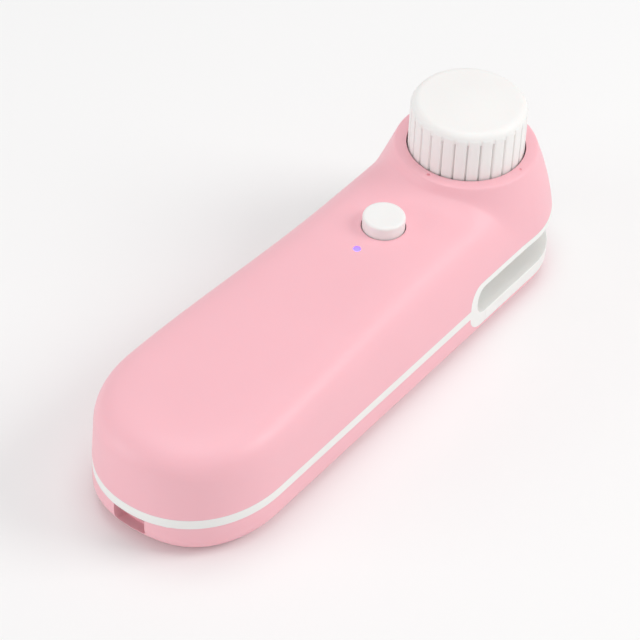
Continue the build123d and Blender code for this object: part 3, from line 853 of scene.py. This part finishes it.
        round_off = self.base_radius + self.tail_base_extra * np.maximum(0.0, -normal[:, 0]) ** 6
        edge = points - normal * round_off[:, None]
        for share in (0.0, 0.35, 0.75):
            row(centre + share * (collar - centre), self.floor)
        for share in np.linspace(0.0, 1.0, 8):
            row(collar + share * (edge - collar), self.floor)
        for angle in np.linspace(0.0, math.pi / 2, 11)[1:]:
            out = (round_off * math.sin(angle))[:, None]
            row(edge + normal * out, self.floor + round_off * (1 - math.cos(angle)))
        foot = self.floor + round_off
        for share, stands_back in ((0.22, True), (0.507, True), (0.78, False), (0.92, False)):
            row(points, foot + share * (self.seam - foot), stands_back)
        rows.extend(self.upper_rows(points, collar))
        top = self.seam + self.head_rise
        for share in (0.94, 0.5, 0.0):
            row(centre + share * (collar - centre), top, False)
        return np.array(rows)

    def build(self, name: str) -> bpy.types.Object:
        """Lays a grid primitive over the form and closes it into a solid.

        Args:
            name: Name of the new object.

        Returns:
            A closed, smooth solid.
        """
        surface = self.grid()
        surface = np.concatenate([surface, surface[:, :1]], axis=1)
        row_count, column_count = surface.shape[:2]
        bpy.ops.object.select_all(action="DESELECT")
        bpy.ops.mesh.primitive_grid_add(
            x_subdivisions=column_count - 1, y_subdivisions=row_count - 1, size=1.0
        )
        obj = Bench.named(name)
        obj.data.vertices.foreach_set("co", (surface * MM).reshape(-1))
        obj.data.update()
        Bench.merge(obj, 0.004)
        return obj


# ------------------------------------------------------------------ housing
@dataclass
class Housing:
    """The two pink shells, the white frame and the white jaw, all cut from one form.

    Attributes:
        finishes: The finishes.
        wall: Thickness of the shells.
        band_bottom: Lower edge of the white band.
        band_top: Upper edge of the white band.
        jaw_bottom: Level of the jaw's underside.
        slot_floor: Level of the jaw's face.
        slot_ceiling: Level of the slot's upper side.
        rim_top: Upper edge of the slot frame.
        frame_x: Tail end of the slot frame along X.
        frame_corner: Rounding of that end.
        slot_end_x: Tail end of the slot along X.
        band_depth: Thickness of the band.
        window_half: Half of the heater's window in the slot frame, along X and Y.
        collar_bore: Radius of the collar's bore.
        button_radius: Radius of the button's hole.
        light_radius: Radius of the light's hole.
        mark_ring: Radius of the ring of marks on the collar.
        mark_radius: Radius of one mark.
        recess_half: Half the width of the tail's recess.
        recess_bottom: Level of the recess's lower side.
        recess_round: Rounding of the recess's lower corners.
        recess_wall: Lowest level, half width and two thicknesses of the wall behind the recess.
        socket_gap: Gap from the recess's wall to the charging socket.
        port_round: Rounding of the charging port's corners.
        screw_wells: Node, radius and depth of each kind of screw well.
        pad_play: Room round the pad in its groove.
        edge_soft: Width of the softened edges.
    """

    finishes: Finishes
    wall: float = 2.0
    band_bottom: float = 9.5
    band_top: float = 12.3
    jaw_bottom: float = 4.3
    slot_floor: float = 8.3
    slot_ceiling: float = 16.4
    rim_top: float = 17.9
    frame_x: float = 26.6
    frame_corner: float = 5.5
    slot_end_x: float = 33.5
    band_depth: float = 2.2
    window_half: tuple[float, float] = (4.4, 18.9)
    collar_bore: float = 15.6
    button_radius: float = 5.8
    light_radius: float = 1.0
    mark_ring: float = 16.9
    mark_radius: float = 0.5
    recess_half: float = 4.7
    recess_bottom: float = 4.0
    recess_round: float = 1.2
    recess_wall: tuple[float, float, float, float] = (1.2, 6.5, 1.5, 2.2)
    socket_gap: float = 0.2
    port_round: float = 1.6
    screw_wells: tuple[tuple[str, float, float], ...] = (("case_screws", 2.6, 4.0), ("jaw_screws", 2.0, 2.3))
    pad_play: float = 0.05
    edge_soft: float = 0.18

    def __post_init__(self) -> None:
        """Reads the places that the frame sets."""
        low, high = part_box("lower_shell")
        top_low, top_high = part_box("upper_shell")
        self.low = Vector((min(low.x, top_low.x), low.y, low.z)) / MM
        self.head_x = middle_x("knob")
        self.high = Vector((self.head_x + high.y / MM, high.y / MM, top_high.z / MM))
        self.outer = BodyForm(self.low, self.high).build("outer_form")
        hollow = BodyForm(self.low, self.high, inset=self.wall, columns=180, rows=36)
        self.hollow = hollow.build("inner_form")

    def frame_block(self) -> bpy.types.Object:
        """Rounded block that bounds the slot frame and the jaw."""
        block = Bench.block("frame_tool", (self.frame_x, -40, self.jaw_bottom), (100, 40, self.rim_top))
        tail_edge = self.frame_x + 0.01
        Bench.round_edges(
            block, lambda a, b: a.x < tail_edge and b.x < tail_edge and abs(a.y - b.y) > 1,
            self.frame_corner, 14,
        )
        return block

    def slot_block(self) -> bpy.types.Object:
        """Space of the slot with its half-round tail end."""
        end_radius = (self.slot_ceiling - self.slot_floor) / 2
        end_x = self.slot_end_x - end_radius
        block = Bench.block("slot_tool", (end_x, -40, self.slot_floor), (100, 40, self.slot_ceiling))
        Bench.round_edges(
            block, lambda a, b: a.x < end_x + 0.01 and b.x < end_x + 0.01 and abs(a.y - b.y) > 1,
            end_radius - 0.02, 16,
        )
        return block

    def finish_piece(self, obj: bpy.types.Object, slot: str, node: str, soft: float) -> None:
        """Softens a housing piece's edges, shades, dresses and places it.

        Args:
            obj: The piece.
            slot: Its material slot.
            node: The CAD node that it stands for.
            soft: Width of its softened edges in millimetres, or 0.
        """
        if soft:
            Bench.soften(obj, soft)
        Bench.merge(obj, 0.0008)
        Bench.smooth(obj, 32.0)
        Bench.weigh_normals(obj)
        self.finishes.hand_over(obj, slot, "housing", node)

    def build_upper(self) -> None:
        """The pink top shell with its collar, button hole, light hole and marks."""
        shell = Bench.copy(self.outer, "upper_housing")
        Bench.slice(shell, self.band_top, Side.ABOVE)
        Bench.cut(shell, self.frame_block(), Cut.AWAY)
        Bench.cut(shell, self.hollow, Cut.AWAY, keep=True)
        for x, bottom, radius, sides in (
            (self.head_x, 26.0, self.collar_bore, 128),
            (middle_x("power_button"), 20.0, self.button_radius, 64),
            (middle_x("light_pipe"), 20.0, self.light_radius, 32),
        ):
            Bench.cut(shell, Bench.rod("hole_tool", x, 0, bottom, 60.0, radius, sides), Cut.AWAY)
        for quarter in range(4):
            angle = quarter * math.pi / 2
            place = (
                (self.head_x + self.mark_ring * math.cos(angle)) * MM,
                self.mark_ring * math.sin(angle) * MM, (self.high.z + 0.05) * MM,
            )
            bpy.ops.object.select_all(action="DESELECT")
            bpy.ops.mesh.primitive_uv_sphere_add(
                segments=20, ring_count=12, radius=self.mark_radius * MM, location=place
            )
            Bench.cut(shell, Bench.settle(Bench.named("mark_tool")), Cut.AWAY)
        self.finish_piece(shell, "pink_shell", "upper_shell", 0.0)

    def build_lower(self) -> None:
        """The pink underside with its tail recess and screw wells."""
        shell = Bench.copy(self.outer, "lower_housing")
        Bench.slice(shell, self.band_bottom, Side.BELOW)
        Bench.cut(shell, self.frame_block(), Cut.AWAY)
        hollow = Bench.copy(self.hollow, "floor_tool")
        Bench.cut(hollow, Bench.block("end_tool", (self.frame_x - 2.0, -40, -5), (120, 40, 80)), Cut.AWAY)
        Bench.cut(shell, hollow, Cut.AWAY)
        socket_low, socket_high = (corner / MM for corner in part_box("charging_socket"))
        recess_x = socket_low.x - self.socket_gap
        bottom, half, outward, inward = self.recess_wall
        tail = Bench.block(
            "tail_pad", (recess_x - outward, -half, bottom),
            (recess_x + inward, half, self.band_bottom - 0.05),
        )
        bound = BodyForm(self.low, self.high, inset=self.wall / 4, columns=180, rows=24)
        Bench.cut(tail, bound.build("tail_bound"), Cut.KEEP)
        Bench.cut(shell, tail, Cut.JOIN)
        recess = Bench.block(
            "recess_tool", (-95, -self.recess_half, self.recess_bottom), (recess_x, self.recess_half, 12)
        )
        Bench.round_edges(
            recess, lambda a, b: abs(a.x - b.x) > 1 and max(a.z, b.z) < self.recess_bottom + 1,
            self.recess_round, 6,
        )
        Bench.cut(shell, recess, Cut.AWAY)
        port = Bench.block(
            "port_tool", (-90, socket_low.y, socket_low.z), (recess_x + 4.0, socket_high.y, socket_high.z)
        )
        Bench.round_edges(port, lambda a, b: abs(a.x - b.x) > 1, self.port_round, 8)
        Bench.cut(shell, port, Cut.AWAY)
        for node, radius, depth in self.screw_wells:
            for x, y in self.screw_places(node):
                Bench.cut(shell, Bench.rod("well_tool", x, y, -2.0, depth, radius, 40), Cut.AWAY)
        self.finish_piece(shell, "pink_shell", "lower_shell", 0.0)

    @staticmethod
    def screw_places(node: str) -> list[tuple[float, float]]:
        """Plan centres, in millimetres, of the separate screws grouped in a CAD node."""
        points = np.array([vertex.co[:2] for vertex in frame["nodes"][node].data.vertices]) / MM
        places: list[np.ndarray] = []
        for point in points:
            for index, known in enumerate(places):
                if np.linalg.norm(known.mean(0) - point) < 7.0:
                    places[index] = np.vstack([known, point])
                    break
            else:
                places.append(point[None, :])
        return [tuple((known.min(0) + known.max(0)) / 2) for known in places]

    def build_frame(self) -> None:
        """The white band that rises to frame the slot, with the heater's window in its ceiling."""
        band = Bench.copy(self.outer, "slot_frame")
        Bench.slice(band, self.band_top, Side.BELOW)
        Bench.slice(band, self.band_bottom, Side.ABOVE)
        inner = BodyForm(self.low, self.high, inset=self.band_depth, columns=180, rows=24).build("band_tool")
        Bench.cut(inner, Bench.block("keep_tool", (self.frame_x, -40, -5), (120, 40, 80)), Cut.AWAY)
        Bench.cut(band, inner, Cut.AWAY)
        block = Bench.copy(self.outer, "rim_tool")
        Bench.slice(block, self.rim_top + 1.0, Side.BELOW)
        Bench.cut(block, self.frame_block(), Cut.KEEP)
        Bench.cut(band, block, Cut.JOIN)
        Bench.cut(band, self.slot_block(), Cut.AWAY)
        below = Bench.block("jaw_tool", (self.slot_end_x, -40, -5), (120, 40, self.slot_floor + 0.3))
        Bench.cut(band, below, Cut.AWAY)
        Bench.soften(band, self.edge_soft)
        half_x, half_y = self.window_half
        window = Bench.block(
            "window_tool", (self.head_x - half_x, -half_y, 12), (self.head_x + half_x, half_y, 30)
        )
        Bench.cut(band, window, Cut.AWAY)
        self.finish_piece(band, "white_trim", "trim_frame", 0.0)

    def build_jaw(self) -> None:
        """The white lower jaw with the groove for its pad."""
        jaw = Bench.copy(self.outer, "jaw_block")
        Bench.slice(jaw, self.slot_floor, Side.BELOW)
        Bench.slice(jaw, self.jaw_bottom, Side.ABOVE)
        tail_part = Bench.block("part_tool", (-120, -40, -5), (self.slot_end_x, 40, 40))
        Bench.cut(jaw, tail_part, Cut.AWAY)
        low, high = (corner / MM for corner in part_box("pressure_pad"))
        play = self.pad_play
        groove = Bench.block(
            "groove_tool", (low.x - play, low.y - play, low.z), (high.x + play, high.y + play, 20)
        )
        Bench.cut(jaw, groove, Cut.AWAY)
        self.finish_piece(jaw, "white_trim", "lower_jaw", self.edge_soft)

    def clear_tools(self) -> None:
        """Removes the forms that the pieces were cut from."""
        for tool in (self.outer, self.hollow):
            bpy.data.objects.remove(tool)

    def build(self) -> None:
        """Builds all four pieces."""
        self.build_upper()
        self.build_lower()
        self.build_frame()
        self.build_jaw()
        self.clear_tools()


# ------------------------------------------------------------------ knob
@dataclass
class KnobSet:
    """The fluted ring, its smooth cap, and their soft edges.

    Attributes:
        finishes: The finishes.
        flutes: Number of grooves round the ring.
        steps: Points round the ring from one groove to the next.
        groove_half_steps: Points on each side of a groove that lean into it.
        groove_depth: Depth of a groove.
        radius: Radius of the ring over its ribs.
        cap_radius: Radius of the cap.
        cap_round: Rounding of the cap's edge.
        dome_rise: Rise of the cap's dome.
        turn_deg: Turn of the grooves about the stem.
        inner_radius: Radius of the wells in the ring.
        web_bottom: Lower side of the web between the wells.
        web_top: Upper side of the web.
        stem_bore: Radius of the stem's hole in the web.
    """

    finishes: Finishes
    flutes: int = 28
    steps: int = 10
    groove_half_steps: int = 1
    groove_depth: float = 0.85
    radius: float = 15.25
    cap_radius: float = 15.05
    cap_round: float = 2.4
    dome_rise: float = 0.45
    turn_deg: float = 8.1
    inner_radius: float = 13.0
    web_bottom: float = 41.0
    web_top: float = 43.0
    stem_bore: float = 2.05

    def __post_init__(self) -> None:
        """Reads the knob's place and levels."""
        low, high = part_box("knob")
        self.centre_x = middle_x("knob")
        self.bottom = low.z / MM
        self.top = high.z / MM
        self.cap_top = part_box("knob_cap")[1].z / MM

    def ring_radius(self, index: int) -> float:
        """Radius of the fluted ring at one step round it."""
        step = index % self.steps
        from_groove = min(step, self.steps - step)
        facet = math.cos(math.pi / self.flutes) / math.cos(
            math.pi / self.flutes * (1 - 2 * from_groove / self.steps)
        )
        bulge = 0.55 + 0.45 * facet
        if from_groove == 0:
            return self.radius - self.groove_depth
        if from_groove <= self.groove_half_steps:
            return self.radius * bulge - 0.10
        return self.radius * bulge

    def build_ring(self) -> bpy.types.Object:
        """The fluted ring: a cylinder whose sides are pulled in at each groove."""
        sides = self.flutes * self.steps
        ring = Bench.rod("knob_ring", 0, 0, self.bottom, self.top, self.radius, sides)
        for vertex in ring.data.vertices:
            angle = math.atan2(vertex.co.y, vertex.co.x)
            index = round(angle / (2 * math.pi) * sides)
            vertex.co.xy *= self.ring_radius(index) * MM / vertex.co.xy.length
        Bench.select_faces(ring, lambda face: face.normal.z > 0.9)
        # The top draws in by three rings, which rounds the flutes over into the cap
        for factor, lift in ((0.992, 0.35), (0.985, 0.30), (0.93, -0.9)):
            bpy.ops.mesh.extrude_region_move(TRANSFORM_OT_translate={"value": (0, 0, lift * MM)})
            bpy.ops.transform.resize(value=(factor, factor, 1.0), center_override=(0, 0, 0))
        bpy.ops.object.mode_set(mode="OBJECT")
        # A well below and another above leave the web that the stem passes through
        for low, high, radius in (
            (self.bottom - 5, self.web_bottom, self.inner_radius),
            (self.web_top, self.cap_top + 5, self.inner_radius),
            (self.web_bottom - 1, self.web_top + 1, self.stem_bore),
        ):
            Bench.cut(ring, Bench.rod("well_tool", 0, 0, low, high, radius, 96), Cut.AWAY)
        return ring

    @staticmethod
    def dome(ratio: float) -> float:
        """Share of the dome's rise at a ratio of its radius, level at both ends."""
        return (1 - min(1.0, ratio) ** 2) ** 2

    def build_cap(self) -> bpy.types.Object:
        """The smooth cap: a short cylinder with a broad rounded edge and a slight dome."""
        flat_level = self.cap_top - self.dome_rise
        cap = Bench.rod("knob_dome", 0, 0, self.top - 0.8, flat_level, self.cap_radius, 168)
        level = flat_level - 0.01
        Bench.round_edges(cap, lambda a, b: a.z > level and b.z > level, self.cap_round, 14)
        Bench.select_faces(cap, lambda face: len(face.verts) > 8 and face.normal.z > 0.99)
        flat_radius = self.cap_radius - self.cap_round
        rings = 12
        for ring in range(rings):
            outer = flat_radius * (1 - ring / rings)
            inner = flat_radius * (1 - (ring + 1) / rings) if ring < rings - 1 else 0.25
            bpy.ops.mesh.inset(thickness=(outer - inner) * MM)
            lift = self.dome_rise * (self.dome(inner / flat_radius) - self.dome(outer / flat_radius))
            bpy.ops.transform.translate(value=(0, 0, lift * MM))
        bpy.ops.object.mode_set(mode="OBJECT")
        return cap

    def place(self, obj: bpy.types.Object) -> None:
        """Turns a piece to the flutes' place and moves it over the stem."""
        obj.rotation_euler = (0, 0, math.radians(self.turn_deg))
        obj.location = (self.centre_x * MM, 0, 0)
        Bench.settle(obj)

    def build(self) -> None:
        """Builds and places the ring and the cap."""
        for obj, node, angle in (
            (self.build_ring(), "knob", 24.0), (self.build_cap(), "knob_cap", 40.0)
        ):
            self.place(obj)
            Bench.smooth(obj, angle)
            self.finishes.hand_over(obj, "white_knob", "knob", node)


# ------------------------------------------------------------------ button and pad
@dataclass
class ButtonSet:
    """The power button with its softly rounded rim and slightly dished top.

    Attributes:
        finishes: The finishes.
        radius: Radius of the cap.
        edge: Rounding of the rim.
        dish: Depth of the dish.
        dish_width: How far the dish's slope reaches in from the rim.
        flange_top: Level of the flange that holds the button in.
        flange_thick: Thickness of the flange.
        flange_reach: How far the flange stands out.
        stalk_radius: Radius of the stalk over the switch.
    """

    finishes: Finishes
    radius: float = 5.5
    edge: float = 0.7
    dish: float = 0.12
    dish_width: float = 3.2
    flange_top: float = 29.7
    flange_thick: float = 1.2
    flange_reach: float = 1.3
    stalk_radius: float = 2.0

    def build(self) -> None:
        """Builds the button over its CAD node's place."""
        bottom, top = (corner.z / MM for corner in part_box("power_button"))
        x = middle_x("power_button")
        button = Bench.rod("button_cap", x, 0, bottom + 1.0, top, self.radius, 96)
        Bench.round_edges(button, lambda a, b: a.z > top - 0.01 and b.z > top - 0.01, self.edge, 8)
        Bench.select_faces(button, lambda face: face.normal.z > 0.99 and len(face.verts) > 8)
        for share in (0.25, 0.3, 0.5):
            bpy.ops.mesh.inset(thickness=share * self.dish_width * MM)
            bpy.ops.transform.translate(value=(0, 0, -self.dish * share * MM))
        bpy.ops.object.mode_set(mode="OBJECT")
        for low, high, radius, sides in (
            (self.flange_top - self.flange_thick, self.flange_top, self.radius + self.flange_reach, 96),
            (bottom, self.flange_top - self.flange_thick / 2, self.stalk_radius, 32),
        ):
            Bench.cut(button, Bench.rod("flange_tool", x, 0, low, high, radius, sides), Cut.JOIN)
        Bench.smooth(button, 40.0)
        self.finishes.hand_over(button, "white_button", "power_button", "power_button")


@dataclass
class PadSet:
    """The silicone pad with its rounded, lightly ribbed face.

    Attributes:
        finishes: The finishes.
        ribs: Number of ribs along the pad.
        rib_height: Height of a rib.
        rib_half: Half the width of a rib.
        rib_slope: Width of a rib's slope.
        edge: Rounding of the pad's upper edges.
    """

    finishes: Finishes
    ribs: int = 3
    rib_height: float = 0.12
    rib_half: float = 0.35
    rib_slope: float = 0.12
    edge: float = 0.5

    def build(self) -> None:
        """Builds the pad over its CAD node's place."""
        low, high = (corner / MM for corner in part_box("pressure_pad"))
        spacing = (high.x - low.x) / (self.ribs + 1)
        rib_places = [low.x + (number + 1) * spacing for number in range(self.ribs)]
        pad = Bench.block("jaw_pad", low, high)
        Bench.round_edges(pad, lambda a, b: a.z > high.z - 0.01 and b.z > high.z - 0.01, self.edge, 5)
        Bench.take(pad)
        bpy.ops.object.mode_set(mode="EDIT")
        for x in rib_places:
            for side in (-self.rib_half, self.rib_half):
                bpy.ops.mesh.select_all(action="SELECT")
                bpy.ops.mesh.bisect(plane_co=((x + side) * MM, 0, 0), plane_no=(1, 0, 0))
        bpy.ops.object.mode_set(mode="OBJECT")

        def on_rib(face: bmesh.types.BMFace) -> bool:
            """True for the strips of the pad's face that stand up as ribs."""
            centre = face.calc_center_median() / MM
            nearest = min(abs(centre.x - x) for x in rib_places)
            return face.normal.z > 0.99 and abs(centre.y) < high.y - 1 and nearest < self.rib_half

        Bench.select_faces(pad, on_rib)
        bpy.ops.mesh.inset(thickness=self.rib_slope * MM)
        bpy.ops.transform.translate(value=(0, 0, self.rib_height * MM))
        bpy.ops.object.mode_set(mode="OBJECT")
        Bench.smooth(pad, 40.0)
        self.finishes.hand_over(pad, "silicone", "housing", "pressure_pad")


# ------------------------------------------------------------------ the pieces that keep their CAD shape
@dataclass
class InnerPieces:
    """Gives each CAD node its finish by the record's slot names.

    Attributes:
        finishes: The finishes.
        slots: The material slot of each node.
    """

    finishes: Finishes
    slots: dict[str, str] = field(init=False)

    def __post_init__(self) -> None:
        """Reads the slot of each node."""
        self.slots = {entry["node"]: entry["material_slot"] for entry in frame["record"]["subparts"]}

    def dress(self) -> None:
        """Assigns the finishes."""
        for node, obj in frame["nodes"].items():
            material = self.finishes.get(self.slots[node])
            if not obj.material_slots:
                obj.data.materials.append(material)
            for slot in obj.material_slots:
                slot.material = material
            log.info("%s dressed as %s", node, material.name)


# ------------------------------------------------------------------ spring and flexible leads
@dataclass
class YieldingPieces:
    """The pieces that change length as the knob goes down: the spring and the heater's pigtails.

    Attributes:
        finishes: The finishes.
        travel: Full travel of the press, in millimetres. Not used.
        seat: Level of the spring's fixed lower end, in millimetres. Not used.
        anchor: Level of the pigtails' fixed upper end, in millimetres. Not used.
    """

    finishes: Finishes
    travel: float = 7.3
    seat: float = 26.2
    anchor: float = 24.2

    def merged(self, node: str, name: str, slot: str) -> bpy.types.Object:
        """Copies a CAD node's triangles into a new piece with shared corners and smooth shading.

        Args:
            node: The CAD node.
            name: Name of the new piece.
            slot: Its material slot.

        Returns:
            The dressed piece, not yet riding on a body.
        """
        piece = Bench.copy(frame["nodes"][node], name)
        bpy.ops.object.parent_clear(type="CLEAR_KEEP_TRANSFORM")
        Bench.settle(piece)
        Bench.merge(piece, 0.001)
        Bench.smooth(piece, 40.0)
        self.finishes.dress(piece, slot)
        return piece

    def build(self) -> None:
        """Builds both pieces: the spring rides on the housing with a mesh of its own, and the pigtails keep
        their place.
        """
        spring = self.merged("return_spring", "coil_spring", "spring_steel")
        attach(spring, "housing")
        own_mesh(spring)
        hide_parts("return_spring")
        pigtails = self.merged("heater_pigtails", "flexible_leads", "red_insulation")
        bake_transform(pigtails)
        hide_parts("heater_pigtails")


# ------------------------------------------------------------------ studio
@dataclass
class Studio:
    """Camera, floor and soft light.

    Attributes:
        lens_mm: Focal length.
        azimuth_deg: Direction of the camera from the object, round from +X.
        elevation_deg: Height of the camera over the horizon.
        roll_deg: Turn of the camera about its own axis.
        aim_mm: The point that the camera is set up from.
        distance_mm: Distance from that point along the view.
        shift_mm: How far the camera stands to the left of that line and below it.
        world_strength: Strength of the even light from all round.
    """

    lens_mm: float = 168.75
    azimuth_deg: float = -144.8894
    elevation_deg: float = 42.5135
    roll_deg: float = 2.8075
    aim_mm: tuple[float, float, float] = (1.0, 0.0, 24.9)
    distance_mm: float = 752.738
    shift_mm: tuple[float, float] = (4.146, 8.431)
    world_strength: float = 0.52

    def add_camera(self) -> None:
        """Places the camera by its direction and its distance from the aim."""
        turn = (
            Matrix.Rotation(math.radians(self.azimuth_deg + 90), 4, "Z")
            @ Matrix.Rotation(math.radians(90 - self.elevation_deg), 4, "X")
            @ Matrix.Rotation(math.radians(self.roll_deg), 4, "Z")
        )
        left, below = self.shift_mm
        place = (Vector(self.aim_mm) + turn @ Vector((-left, -below, self.distance_mm))) * MM
        camera = bpy.data.cameras.new("camera")
        camera.lens = self.lens_mm
        camera.sensor_width = 36.0
        camera.clip_start = 0.01
        camera.clip_end = 20.0
        obj = bpy.data.objects.new("camera", camera)
        bpy.context.scene.collection.objects.link(obj)
        obj.matrix_world = Matrix.Translation(place) @ turn
        bpy.context.scene.camera = obj

    def add_floor(self) -> None:
        """A plain pale floor under the object."""
        bpy.ops.object.select_all(action="DESELECT")
        bpy.ops.mesh.primitive_plane_add(size=6.0, location=(0, 0, -0.0002))
        floor = Bench.settle(Bench.named("floor"))
        material = bpy.data.materials.new("floor")
        material.use_nodes = True
        shader = material.node_tree.nodes["Principled BSDF"]
        shader.inputs["Base Color"].default_value = (0.93, 0.93, 0.93, 1)
        shader.inputs["Roughness"].default_value = 0.9
        shader.inputs["Specular IOR Level"].default_value = 0.1
        floor.data.materials.append(material)

    @staticmethod
    def add_light(name: str, place: Sequence[float], size: float, power: float, colour: Colour) -> None:
        """Adds a square soft light that faces the object.

        Args:
            name: Name of the light.
            place: Where it hangs, in metres.
            size: Side of its square, in metres.
            power: Its power in watts.
            colour: Its colour.
        """
        light = bpy.data.lights.new(name, "AREA")
        light.shape = "SQUARE"
        light.size = size
        light.energy = power
        light.color = colour
        obj = bpy.data.objects.new(name, light)
        bpy.context.scene.collection.objects.link(obj)
        obj.location = place
        obj.rotation_euler = (Vector((0, 0, 0.02)) - Vector(place)).to_track_quat("-Z", "Y").to_euler()

    def build(self) -> None:
        """Sets up the whole studio."""
        self.add_camera()
        self.add_floor()
        self.add_light("key", (0.55, -0.80, 0.75), 0.6, 5.0, (1.0, 0.985, 0.97))
        self.add_light("top", (0.10, 0.10, 1.2), 0.8, 4.1, (1.0, 1.0, 1.0))
        self.add_light("fill", (-0.9, -0.5, 0.55), 0.9, 0.7, (1.0, 1.0, 1.0))
        self.add_light("edge", (-0.75, 0.55, 0.22), 0.5, 1.9, (1.0, 1.0, 1.0))
        world = bpy.data.worlds.new("studio")
        world.use_nodes = True
        background = world.node_tree.nodes["Background"]
        background.inputs["Color"].default_value = (1.0, 1.0, 1.0, 1.0)
        background.inputs["Strength"].default_value = self.world_strength
        bpy.context.scene.world = world
        bpy.context.scene.view_settings.view_transform = "Standard"


def main() -> None:
    """Builds the studio, dresses the CAD nodes and adds each new piece."""
    finishes = Finishes()
    Studio().build()
    InnerPieces(finishes).dress()
    Housing(finishes).build()
    KnobSet(finishes).build()
    ButtonSet(finishes).build()
    PadSet(finishes).build()
    YieldingPieces(finishes).build()


if __name__ == "__main__":
    main()
